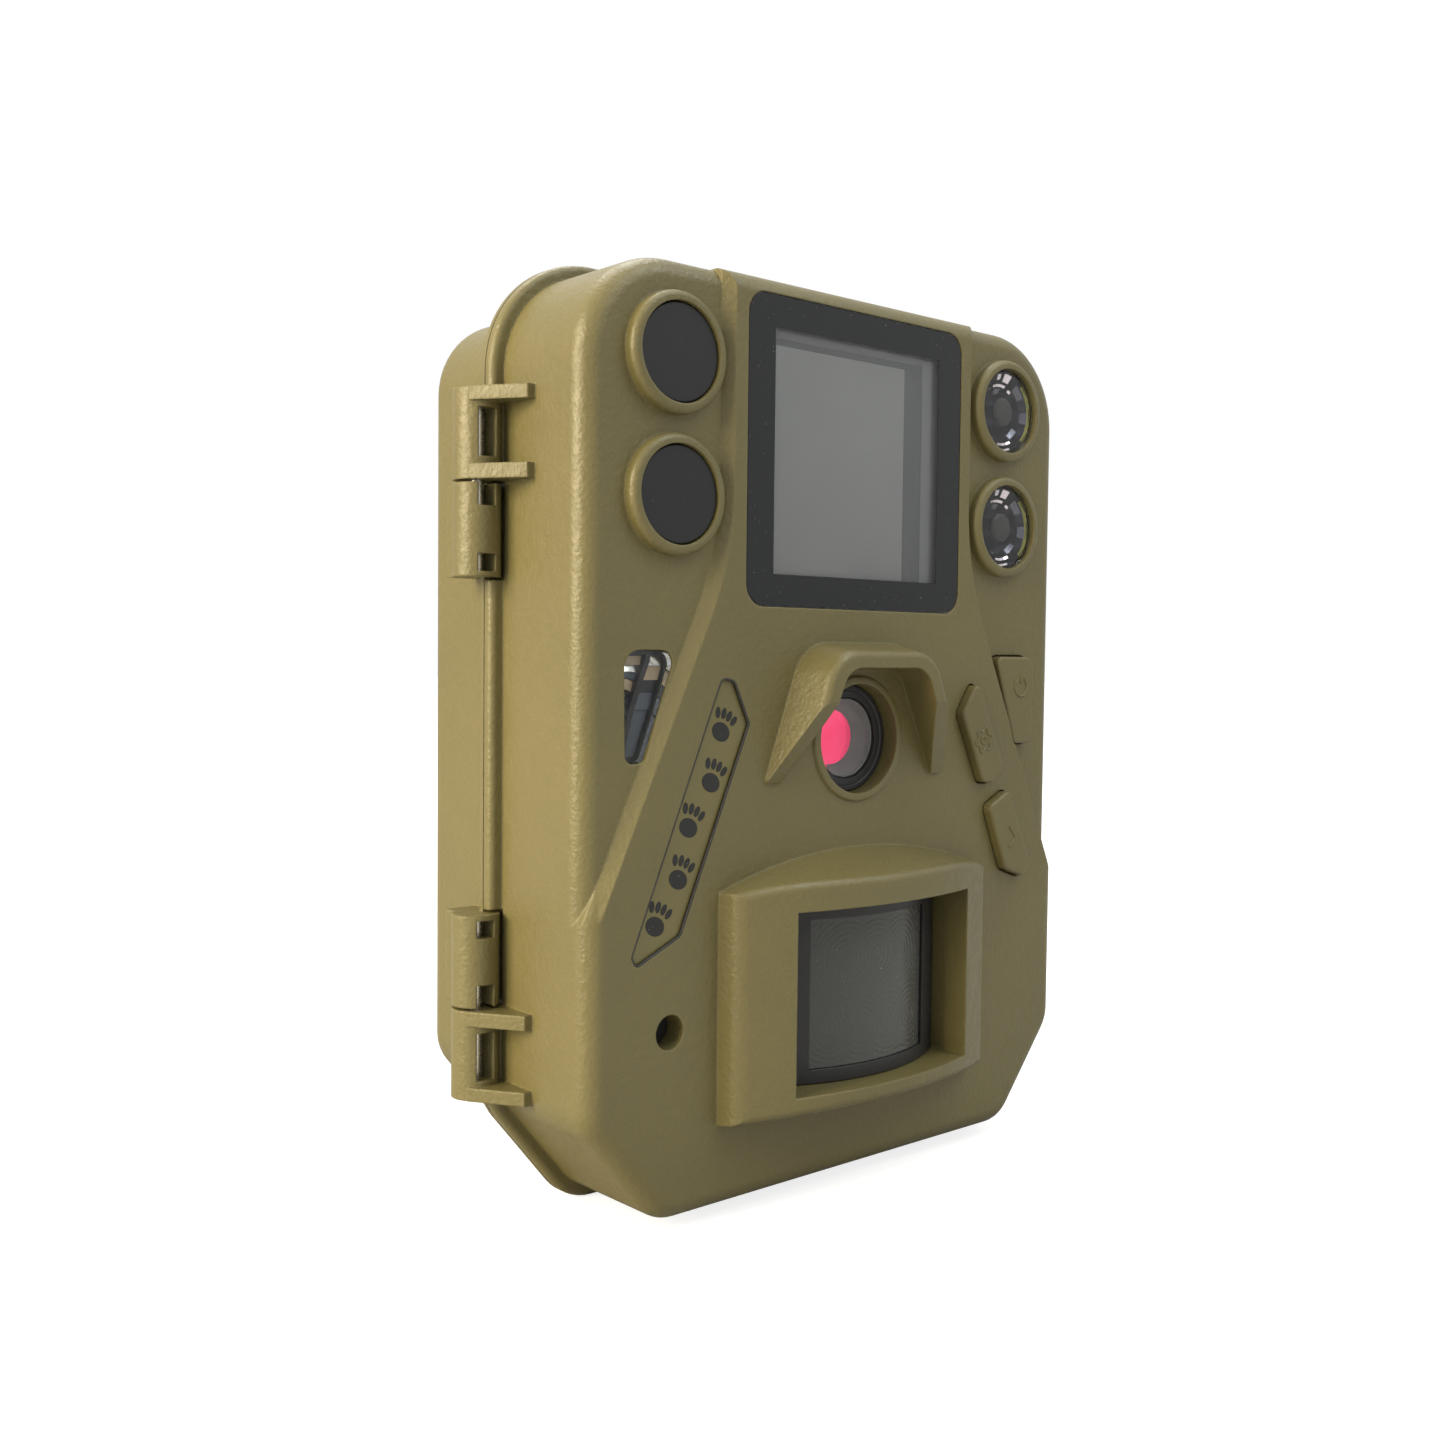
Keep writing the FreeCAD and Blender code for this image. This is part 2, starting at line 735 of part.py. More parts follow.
def build_front_shell():
    outer = fuse("front_outer", front_blank() + optic_rims() + [lens_hood(), lens_lip(), pir_bezel()])
    cavity = prism("front_cavity", housing_outline(-size("wall")), CAVITY, FRONT_RIM + 1)
    hollow = cut("front_hollow", outer, [cavity])
    foot = fillet(
        "front_foot",
        box("front_foot_block", (-20, 20), (PARTING - 10.5, FRONT_RIM), (0, size("bottom_edge") + 0.4)),
        lies_at(1, PARTING - 10.5),
        0.6,
    )
    keeper = box(
        "keeper",
        (size("half_width") - 0.5, size("half_width") + 1.85),
        (PARTING - 4.6, PARTING - 3.5),
        (size("latch_centre") - 4.2, size("latch_centre") + 4.2),
    )
    knuckles = [solid for front, _, _, _ in HINGES for solid in front]
    shell = fuse("front_fused", [hollow, foot, keeper] + screw_posts() + knuckles)

    tools = []
    pocket_floor = FACE + 0.15 + size("glass_thickness")
    tools.append(prism("glass_pocket", glass_outline(size("fit")), FACE - 1, pocket_floor))
    tools.append(box("display_opening", (-14.05, 15.05), (FACE, CAVITY + 1), (66.0, 95.1)))
    for level in ("optic_low", "optic_high"):
        front = COLUMN - size("rim_height") - 1
        pocket = size("optic_radius") + size("fit")
        left = -size("optic_x")
        tools.append(rod(f"ir_pocket_{level}", pocket, 2.9, left, front, size(level), "Y"))
        tools.append(rod(f"ir_hole_{level}", 4.3, 8, left, front, size(level), "Y"))
        tools.append(rod(f"flash_hole_{level}", pocket, 8, size("optic_x"), front, size(level), "Y"))
    tools.append(rod("lens_bore", size("bore_radius"), 8, size("lens_x"), FACE - 1, size("lens_z"), "Y"))
    tools.append(prism("sensor_hole", shifted_outline(TEARDROP, 0.05), COLUMN - 1, CAVITY + 1))
    tools.append(prism("badge_recess", shifted_outline(BADGE, 0.0), FACE - 1, FACE + 0.9))
    tools.append(rod("microphone_hole", 1.8, 8, -26.5, FACE - 1, 21.1, "Y"))
    tools.append(
        box(
            "pir_opening",
            (size("pir_x") - size("pir_half_width"), size("pir_x") + size("pir_half_width")),
            (FACE - 10, CAVITY + 1),
            (size("pir_bottom"), size("pir_top")),
        )
    )
    for name, outline in BUTTONS.items():
        clear = shifted_outline(outline, size("button_gap").value)
        tools.append(prism(f"{name}_hole", clear, FACE - 1, CAVITY + 1))
    groove_outer = prism("groove_outer", housing_outline(-0.75), FRONT_RIM - 1.0, FRONT_RIM + 1)
    groove_inner = prism("groove_inner", housing_outline(-1.65), FRONT_RIM - 2.0, FRONT_RIM + 2)
    tools.append(cut("gasket_groove", groove_outer, [groove_inner]))
    for x, z in SCREW_PLACES:
        tools.append(rod(f"post_bore_{x:.0f}_{z:.0f}", 0.8, 5, x, -size("cover_front") - 5, z, "Y"))
    tools += [tool for _, cuts, _, _ in HINGES for tool in cuts]
    return node("front_shell", cut("front_shell", shell, tools))


# ---------------------------------------------------------------- front housing: display and optics


def build_display():
    front = FACE + 0.12
    node("lcd_window", prism("lcd_window", glass_outline(0), front, front + size("glass_thickness")))
    back = front + size("glass_thickness") + size("fit")
    node("lcd_panel", box("lcd_panel", (-14.0, 15.0), (back, back + 2.2), (66.05, 95.05)))


# Outline of the small board behind each column's optics, notched round the screw post.
OPTIC_BOARD = [
    (18.8, 68.5, 1),
    (32.5, 68.5, 1),
    (32.5, 85.0, 1),
    (28.4, 85.8),
    (28.4, 95.0, 1),
    (18.8, 95.0, 1),
]


def build_ir_side():
    """Two black filter discs, and the board of infrared emitters behind them."""
    left = -size("optic_x")
    front = COLUMN - size("rim_height") + 0.35
    for name, level in (("ir_window_lower", "optic_low"), ("ir_window_upper", "optic_high")):
        body = turned(name, disc_profile(size("optic_radius"), 1.5), left, front + 1.5, size(level), "-Y")
        node(name, body)
    board_front = CAVITY + 0.3
    outline = mirrored(OPTIC_BOARD)
    node("ir_led_board", prism("ir_led_board", outline, board_front, board_front + 1.0))
    emitters = []
    for level in ("optic_low", "optic_high"):
        for across, up in ((-1.6, -1.6), (1.6, -1.6), (-1.6, 1.6), (1.6, 1.6)):
            profile = [(0, 0), (1.45, 0), (1.45, 0.35), (1.2, 0.35), (1.2, 0.6), (0.8, 1.0), (0, 1.2)]
            name = f"ir_led_{len(emitters)}"
            emitters.append(turned(name, profile, left + across, board_front, size(level) + up, "-Y"))
    node("ir_leds", group("ir_leds", emitters))


def build_flash_side():
    """Two clear lenses with a metallised reflector cup and a white emitter behind each."""
    front = COLUMN - size("rim_height") + 0.35
    cup_front = front + 0.85
    cup_length = 4.1
    lens_thickness = 0.8
    lens_profile = disc_profile(size("optic_radius"), lens_thickness)
    chip_half = 1.25
    chip_y = (cup_front + cup_length - 0.4, cup_front + cup_length + 0.3)
    chips = []
    x = size("optic_x")
    for name, level in (("lower", "optic_low"), ("upper", "optic_high")):
        z = size(level)
        lens = turned(f"flash_lens_{name}", lens_profile, x, front + lens_thickness, z, "-Y")
        node(f"flash_lens_{name}", lens)
        profile = [(1.9, 0), (2.3, 0), (4.95, cup_length - 0.6), (4.95, cup_length), (4.7, cup_length)]
        cup = turned(f"flash_reflector_{name}", profile, x, cup_front + cup_length, z, "-Y")
        node(f"flash_reflector_{name}", cup)
        across, up = (x - chip_half, x + chip_half), (z - chip_half, z + chip_half)
        chips.append(box(f"flash_chip_{name}", across, chip_y, up))
    node("flash_leds", group("flash_leds", chips))
    board_front = cup_front + cup_length + 0.3
    node("flash_board", prism("flash_board", OPTIC_BOARD, board_front, board_front + 1.0))


def build_lens():
    """The taking lens: a black barrel with a stepped mouth, its front element and a threaded lock ring."""
    x, z = size("lens_x"), size("lens_z")
    board = -size("board_front") - 1.8
    front = FACE + 1.7
    length = board - front
    barrel = [(4.45, 0), (5.6, 0), (5.6, length - 0.3), (5.3, length), (4.6, length), (4.45, length - 0.5)]
    node("lens_barrel", turned("lens_barrel", barrel, x, board, z, "-Y"))
    glass = [(0, 0), (4.4, 0), (4.4, 1.1), (3.6, 1.45), (2.5, 1.75), (1.3, 1.92), (0, 2.0)]
    node("lens_element", turned("lens_element", glass, x, front + 1.6, z, "-Y"))
    ring = [(3.1, 0), (4.4, 0), (4.4, 0.8), (3.1, 0.8)]
    node("lens_retainer", turned("lens_retainer", ring, x, front + 2.5, z, "-Y"))
    half = 7
    depth = (board + 0.02, board + 0.9)
    carrier = box("image_sensor_board", (x - half, x + half), depth, (z - half, z + half))
    node("image_sensor_board", carrier)
    node("image_sensor", box("image_sensor", (x - 3.2, x + 3.2), (board - 0.7, board), (z - 2.6, z + 2.6)))


def curved_sheet(name, outer, thickness, half_width, z_span):
    """A strip of a vertical tube that bulges to the front, about the sensor's own axis."""
    axis_y = -size("pir_lens_depth") + size("pir_lens_radius")
    low, high = Size.of(z_span[0]), Size.of(z_span[1])
    tube = cut(
        f"{name}_tube",
        rod(f"{name}_outer", outer, high - low, size("pir_x"), axis_y, low),
        [rod(f"{name}_inner", outer - thickness, high - low + 2, size("pir_x"), axis_y, low - 1)],
    )
    across = (size("pir_x") - half_width, size("pir_x") + half_width)
    front_half = box(f"{name}_span", across, (axis_y - 40, axis_y), (low - 1, high + 1))
    return common(name, tube, front_half)


def build_motion_sensor():
    low, high = size("pir_bottom") + 0.1, size("pir_top") - 0.1
    half = size("pir_half_width") - 0.1
    sheet_radius = size("pir_lens_radius")
    strip = curved_sheet("pir_frame_strip", sheet_radius, 1.3, half, (low, high))
    hole_x = (size("pir_x") - 9.0, size("pir_x") + 9.0)
    hole = box("pir_frame_hole", hole_x, (FACE - 10, CAVITY), (low + 1.5, high - 1.5))
    node("pir_lens_frame", cut("pir_lens_frame", strip, [hole]))
    lens = curved_sheet("pir_fresnel_lens", sheet_radius - 0.35, 0.7, 8.95, (low + 1.55, high - 1.55))
    node("pir_fresnel_lens", lens)
    can = [(0, 0), (4.6, 0), (4.6, 0.5), (4.1, 0.5), (4.1, 4.0), (0, 4.0)]
    centre = (size("pir_bottom") + size("pir_top")) * 0.5
    node("pir_sensor", turned("pir_sensor", can, size("pir_x"), -size("board_front"), centre, "-Y"))


def build_light_sensor():
    window = prism("light_sensor_window", TEARDROP, COLUMN + 0.25, COLUMN + 1.25)
    node("light_sensor_window", window)
    back = shifted_outline(TEARDROP, 0.9)
    dish = prism("sensor_dish_block", back, CAVITY + 0.05, CAVITY + 2.2)
    hollow = prism("sensor_dish_hollow", shifted_outline(TEARDROP, -0.1), CAVITY - 1, CAVITY + 1.7)
    node("light_sensor_reflector", cut("light_sensor_reflector", dish, [hollow]))
    node("light_sensor", box("light_sensor", (-29.4, -27.6), (CAVITY + 0.9, CAVITY + 1.7), (54.6, 56.4)))


def build_badge():
    node("badge_plate", prism("badge_plate", shifted_outline(BADGE, -0.12), FACE + 0.35, FACE + 0.9))


def build_microphone():
    profile = [(0, 0), (3.0, 0), (3.0, 2.0), (0, 2.0)]
    node("microphone", turned("microphone", profile, -26.5, CAVITY + 2.05, 21.1, "-Y"))


# ---------------------------------------------------------------- front housing: buttons and electronics


def build_buttons():
    """Caps that stand proud of the case, each with a shoulder behind it that keeps it in."""
    for name, outline in BUTTONS.items():
        plane = BUTTON_PLANES[name]
        front = plane - size("button_rise")
        cap = prism(f"{name}_cap", outline, front, CAVITY + 0.12)
        cap = fillet(f"{name}_cap_rounded", cap, lies_at(1, front), 0.35)
        shoulder = prism(f"{name}_shoulder", shifted_outline(outline, 0.7), CAVITY + 0.06, CAVITY + 0.7)
        node(f"{name}_button", fuse(f"{name}_button", [cap, shoulder]))


def build_switches():
    switches = []
    rest_gap = 0.9
    half = 2.2
    for name, (x, z) in SWITCH_PLACES.items():
        stem_front = CAVITY + 0.7 + rest_gap
        depth = (stem_front + 0.5, -size("board_front"))
        case = box(f"{name}_switch_case", (x - half, x + half), depth, (z - half, z + half))
        stem = rod(f"{name}_switch_stem", 1.0, 0.9, x, stem_front, z, "Y")
        switches.append(fuse(f"{name}_switch", [case, stem]))
    node("tact_switches", group("tact_switches", switches))


def build_main_board():
    """The board follows the cavity a little inside it, with a hole round each screw post."""
    outline = housing_outline(-size("wall") - 0.6)
    board = prism("main_board_blank", outline, -size("board_front"), -size("board_back"))
    holes = [
        rod(f"board_hole_{index}", 2.6, 4, x, -size("board_front") - 1, z, "Y")
        for index, (x, z) in enumerate(SCREW_PLACES)
    ]
    node("main_board", cut("main_board", board, holes))
    chips = [
        box("processor", (-9, 5), (-size("board_back"), -size("board_back") + 1.0), (36, 50)),
        box("memory_chip", (-24, -14), (-size("board_back"), -size("board_back") + 0.9), (38, 50)),
        box("regulator", (-26, -20), (-size("board_back"), -size("board_back") + 1.6), (20, 26)),
        rod("capacitor", 2.6, 2.2, -8, -size("board_back"), 22, "Y"),
    ]
    node("board_components", group("board_components", chips))


def build_card_slot():
    """A slot housing on the board's back, open downwards, and the card in it."""
    board = -size("board_back")
    shell = box("card_slot_block", (4.6, 31.4), (board, board + 2.5), (60.5, 86.0))
    channel = box("card_channel", (5.85, 30.15), (board - 1, board + 2.25), (60.0, 85.2))
    node("card_slot", cut("card_slot", shell, [channel]))
    y = board + 0.08
    corners = [(6.0, 53.0, 1), (30.0, 53.0, 1), (30.0, 85.0, 1), (10.0, 85.0), (6.0, 81.0)]
    node("memory_card", prism("memory_card", corners, y, y + 2.1))
    usb_shell = box("usb_block", (-28.0, -20.2), (board, board + 2.5), (60.5, 66.5))
    usb_mouth = box("usb_mouth", (-27.5, -20.7), (board + 0.35, board + 2.15), (60.0, 65.9))
    tongue = box("usb_tongue", (-26.6, -21.6), (board + 0.95, board + 1.55), (61.2, 66.2))
    node("usb_port", fuse("usb_port", [cut("usb_shell", usb_shell, [usb_mouth]), tongue]))


def build_inner_cover():
    """The plate that closes the electronics, with one cut-out for the card and one for the data port."""
    front, back = -size("cover_front"), -size("cover_back")
    plate = prism("cover_blank", housing_outline(-size("wall") - 0.25), front, back)
    tools = [
        prism("card_cut_out", rectangle((4.0, 32.0), (44.0, 62.5), 2), front - 1, back + 1),
        prism("port_cut_out", rectangle((-30.0, -18.0), (50.0, 62.5), 2), front - 1, back + 1),
    ]
    for index, (x, z) in enumerate(SCREW_PLACES):
        tools.append(rod(f"cover_hole_{index}", 1.15, 4, x, front - 1, z, "Y"))
    node("inner_cover", cut("inner_cover", plate, tools))
    shank = [(0, 0), (0.75, 0), (0.75, 3.4), (1.0, 3.4), (1.0, 4.6)]
    head = [(1.9, 4.6), (1.9, 5.4), (1.5, 5.7), (0, 5.7)]
    profile = shank + head
    screws = []
    for index, (x, z) in enumerate(SCREW_PLACES):
        screws.append(turned(f"cover_screw_{index}", profile, x, back - 4.6, z, "Y"))
    node("inner_cover_screws", group("inner_cover_screws", screws))


def build_gasket():
    outer = prism("gasket_outer", housing_outline(-0.8), FRONT_RIM - 0.95, FRONT_RIM)
    inner = prism("gasket_inner", housing_outline(-1.6), FRONT_RIM - 2, FRONT_RIM + 1)
    node("cover_gasket", cut("cover_gasket", outer, [inner]))


# ---------------------------------------------------------------- rear case


def strap_bars():
    """Two upright loops on the back, which a strap passes through."""
    bars = []
    gap_depth, bar_thickness = 4.45, 2.5
    back = BACK + gap_depth + bar_thickness
    for tag, x_low, x_high in (("left", -24.0, -19.5), ("right", 19.5, 24.0)):
        frame = prism(f"strap_frame_{tag}", rectangle((x_low, x_high), (30.0, 70.0), 1.2), BACK - 0.6, back)
        frame = fillet(f"strap_frame_{tag}_rounded", frame, lies_at(1, back), 0.8)
        gap = box(f"strap_gap_{tag}", (x_low - 1, x_high + 1), (BACK, BACK + gap_depth), (36.5, 63.5))
        bars.append(cut(f"strap_bar_{tag}", frame, [gap]))
    return bars


def back_pad():
    """A low pad with ridges on the back, which bites into bark."""
    pad_back, ridge_back = BACK + 1.0, BACK + 2.0
    pad = prism("bark_pad", rectangle((-12, 12), (30, 70), 3), BACK - 0.5, pad_back)
    pad = fillet("bark_pad_rounded", pad, lies_at(1, pad_back), 0.6)
    half = 0.7
    ridges = [
        box(f"bark_ridge_{index}", (-9, 9), (BACK, ridge_back), (z - half, z + half))
        for index, z in enumerate((36, 43, 50, 57, 64))
    ]
    return [pad] + ridges


def latch_lugs():
    lugs = []
    centre = size("latch_centre")
    reach = size("latch_half_height") + 0.3
    thickness = 2.2
    for name, low in (("low", centre - reach - thickness), ("high", centre + reach)):
        outline = [
            (size("rear_half_width") - 0.8, -3.6),
            (size("latch_x"), -2.0),
            (size("latch_x") + 2.0, -0.6, 0.5),
            (size("latch_x") + 2.0, 1.4, 0.9),
            (size("latch_x"), 2.4, 0.9),
            (size("rear_half_width") - 0.8, 4.4),
        ]
        lugs.append(prism(f"latch_lug_{name}", outline, low, low + thickness, plane="XY"))
    return lugs


def build_rear_shell():
    back = moulded_back()
    flange_back = PARTING + size("flange_thickness")
    flange = prism("rear_flange", housing_outline(size("flange_lip")), REAR_RIM, flange_back)
    flange = fillet("rear_flange_rounded", flange, lies_at(1, flange_back), 0.7)
    foot_outline = [(-14, flange_back - 0.5), (14, flange_back - 0.5), (14, 6.0, 2), (-14, 6.0, 2)]
    foot = prism("tripod_boss", foot_outline, 0, 6.5, plane="XY")
    outer = fuse("rear_outer", [back, flange])
    cavity = prism("rear_cavity", rear_outline(-size("wall")), REAR_RIM - 1, BACK - 1.85)
    hollow = cut("rear_hollow", outer, [cavity])
    column = rod("tripod_column", 6.2, 10.2, 0, 0, 0)
    trim = box("tripod_trim", (-8, 8), (-6.0, 6.0), (0, 10.2))
    tower = common("tripod_tower", column, trim)
    knuckles = [solid for _, _, rear, _ in HINGES for solid in rear]
    shell = fuse("rear_fused", [hollow, foot, tower] + strap_bars() + back_pad() + latch_lugs() + knuckles)
    tools = [tool for _, _, _, cuts in HINGES for tool in cuts]
    tools.append(rod("insert_hole", size("insert_radius"), size("insert_length"), 0, 0, 0))
    bore_half = size("latch_half_height") + 1.5
    tools.append(rod("latch_bore", 1.05, 2 * bore_half, size("latch_x"), 0, size("latch_centre") - bore_half))
    node("rear_shell", cut("rear_shell", shell, tools))


def moulded_back():
    block = prism("rear_block", rear_outline(0), REAR_RIM, BACK)
    return fillet("rear_block_rounded", block, lies_at(1, BACK), size("back_round"))


def build_insert():
    radius, length = size("insert_radius"), size("insert_length")
    bore = size("thread_radius")
    profile = [(bore, 0), (radius, 0), (radius, length), (0, length), (0, length - 1), (bore, length - 1)]
    node("tripod_insert", turned("tripod_insert", profile, 0, 0, 0))


def build_hinge_pins():
    for name, flip in (("hinge_pin_upper", False), ("hinge_pin_lower", True)):
        low, high = mirror_z(67.2, 85.1, flip)
        radius, length, chamfer = size("pin_radius"), high - low, 0.15
        profile = [
            (0, 0),
            (radius - chamfer, 0),
            (radius, chamfer),
            (radius, length - chamfer),
            (radius - chamfer, length),
            (0, length),
        ]
        node(name, turned(name, profile, HINGE_X, PARTING, low))


def build_latch():
    """A lever on two lugs. Its claw stands just outside the keeper on the front housing."""
    half = size("latch_half_height")
    low, high = size("latch_centre") - half, size("latch_centre") + half
    x = size("latch_x")
    inside = x - 0.45
    outline = [
        (inside, 1.2, 0.6),
        (inside, -12.0),
        (x - 0.7, -12.2),
        (x - 0.7, -13.6, 0.4),
        (x + 0.3, -15.4, 0.3),
        (x + 2.6, -16.4, 0.4),
        (x + 2.2, -13.0, 1.0),
        (x + 1.9, 0.6, 1.2),
    ]
    plate = prism("latch_plate", outline, low, high, plane="XY")
    barrel = rod("latch_barrel", 2.0, high - low, x, 0, low)
    body = fuse("latch_fused", [plate, barrel])
    bore = rod("latch_lever_bore", 1.05, high - low + 2, x, 0, low - 1)
    node("latch_lever", cut("latch_lever", body, [bore]))
    length = 2 * half + 2.8
    radius = 1.0
    profile = [(0, 0), (radius, 0), (radius, length), (0, length)]
    node("latch_pin", turned("latch_pin", profile, x, 0, size("latch_centre") - half - 1.4))


# ---------------------------------------------------------------- power

CELL_SLOTS = [-1.5, -0.5, 0.5, 1.5]


def build_cradle():
    low, high = size("cradle_low"), size("cradle_high")
    wall = 1.5
    block = prism("cradle_block", rectangle((-31.2, 31.2), (low - wall, high + wall), 1.5), -9.0, 4.85)
    tools = []
    for index, slot in enumerate(CELL_SLOTS):
        x = slot * size("cell_pitch")
        clear = size("cell_radius") + 0.2
        tools.append(rod(f"cell_channel_{index}", clear, high - low, x, -size("cell_depth"), low))
        depth = (-9.5, -size("cell_depth"))
        tools.append(box(f"cell_mouth_{index}", (x - clear, x + clear), depth, (low, high)))
    node("battery_cradle", cut("battery_cradle", block, tools))


def build_cells():
    radius, length = size("cell_radius"), size("cell_length")
    profile = [
        (0, 0),
        (radius - 0.6, 0),
        (radius, 0.5),
        (radius, length - 1.9),
        (radius - 0.6, length - 1.3),
        (2.75, length - 1.3),
        (2.75, length - 0.2),
        (2.5, length),
        (0, length),
    ]
    spring_side = 5.2
    nub_side = 0.5
    for index, slot in enumerate(CELL_SLOTS):
        x = slot * size("cell_pitch")
        if index % 2 == 0:
            start, along = size("cradle_high") - nub_side - length, "Z"
        else:
            start, along = size("cradle_low") + nub_side + length, "-Z"
        name = f"battery_cell_{index + 1}"
        node(name, turned(name, profile, x, -size("cell_depth"), start, along))
    build_contacts(spring_side, nub_side)


def build_contacts(spring_side, nub_side):
    """A sprung contact at each cell's flat end, and plates at both ends."""
    springs, plates = [], []
    low, high = size("cradle_low"), size("cradle_high")
    thickness = 0.4
    for index, slot in enumerate(CELL_SLOTS):
        x = slot * size("cell_pitch")
        from_low = index % 2 == 0
        start = low + thickness if from_low else high - thickness
        reach = spring_side - thickness - 0.02
        profile = bellows(4.2, 2.4, reach, 4)
        along = "Z" if from_low else "-Z"
        springs.append(turned(f"spring_{index}", profile, x, -size("cell_depth"), start, along))
        for end, plate_low in (("low", low), ("high", high - thickness)):
            span = (plate_low, plate_low + thickness)
            plates.append(box(f"plate_{index}_{end}", (x - 5.2, x + 5.2), (-8.4, 2.0), span))
    node("battery_springs", group("battery_springs", springs))
    node("battery_contacts", group("battery_contacts", plates))


def bellows(wide, narrow, height, turns):
    """The outline of a coned spring as a stack of rings."""
    step = height * (1 / turns)
    profile = [(0, 0)]
    for turn in range(turns):
        radius = wide + (narrow - wide) * turn / (turns - 1)
        profile += [(radius - 0.5, step * turn), (radius, step * (turn + 0.5))]
    profile += [(narrow - 0.5, height), (0, height)]
    return profile


def build_power_pads():
    """Sprung pads on the cradle that meet flat pads on the inner cover when the case is shut."""
    pads, fingers = [], []
    for index, x in enumerate((-4.0, 4.0)):
        pad_back = -size("cover_back") + 0.3
        pads.append(box(f"pad_{index}", (x - 2.5, x + 2.5), (-size("cover_back"), pad_back), (84.5, 89.5)))
        base = box(f"finger_base_{index}", (x - 1.5, x + 1.5), (-9.0, -8.5), (84.3, 89.3))
        leg = box(f"finger_leg_{index}", (x - 1.5, x + 1.5), (-9.0, 0.0), (82.9, 83.4))
        rise = box(f"finger_rise_{index}", (x - 1.5, x + 1.5), (-9.0, -8.5), (82.9, 84.6))
        bump = rod(f"finger_bump_{index}", 1.3, 3.0, x - 1.5, -9.0, 87.0, "X")
        fingers.append(fuse(f"finger_{index}", [base, leg, rise, bump]))
    node("power_pads", group("power_pads", pads))
    node("power_contacts", group("power_contacts", fingers))


# ---------------------------------------------------------------- build everything

build_front_shell()
build_display()
build_ir_side()
build_flash_side()
build_lens()
build_motion_sensor()
build_light_sensor()
build_badge()
build_microphone()
build_buttons()
build_switches()
build_main_board()
build_card_slot()
build_inner_cover()
build_gasket()
build_rear_shell()
build_insert()
build_hinge_pins()
build_latch()
build_cradle()
build_cells()
build_power_pads()

# ---------------------------------------------------------------- writing the files


def write_nodes():
    doc.recompute()
    for obj in doc.Objects:
        if "Invalid" in obj.State or "Error" in obj.State:
            raise ValueError(f"{obj.Name} failed: {obj.State}")
    os.makedirs("parts", exist_ok=True)
    for name, obj in NODES:
        shape = obj.Shape
        if shape.isNull() or not shape.isValid() or not shape.Solids:
            raise ValueError(f"{name} has no valid solid")
        shape.exportStep(f"parts/{name}.step")


write_nodes()
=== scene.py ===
import json
import math

import bmesh
import bpy
from mathutils import Matrix, Vector


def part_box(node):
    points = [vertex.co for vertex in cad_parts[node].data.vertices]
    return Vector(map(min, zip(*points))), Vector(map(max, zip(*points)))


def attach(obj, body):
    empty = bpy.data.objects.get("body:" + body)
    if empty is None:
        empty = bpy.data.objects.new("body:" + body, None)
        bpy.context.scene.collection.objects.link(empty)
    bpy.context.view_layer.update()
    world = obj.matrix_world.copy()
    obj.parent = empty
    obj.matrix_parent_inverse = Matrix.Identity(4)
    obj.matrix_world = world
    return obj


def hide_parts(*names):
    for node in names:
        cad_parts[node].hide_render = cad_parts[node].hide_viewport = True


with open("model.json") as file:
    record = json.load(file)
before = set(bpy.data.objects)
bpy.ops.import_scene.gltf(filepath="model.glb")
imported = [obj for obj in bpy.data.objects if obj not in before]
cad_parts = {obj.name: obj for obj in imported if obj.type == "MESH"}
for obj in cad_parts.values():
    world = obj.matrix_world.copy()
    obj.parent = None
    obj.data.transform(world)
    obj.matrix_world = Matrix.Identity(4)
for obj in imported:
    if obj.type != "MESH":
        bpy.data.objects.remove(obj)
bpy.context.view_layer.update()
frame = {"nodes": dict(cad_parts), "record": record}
NODES = frame["nodes"]
MM = 0.001
HOUSING = "front_housing"
LEVELS = ("lower", "upper")

# ---- procedural materials


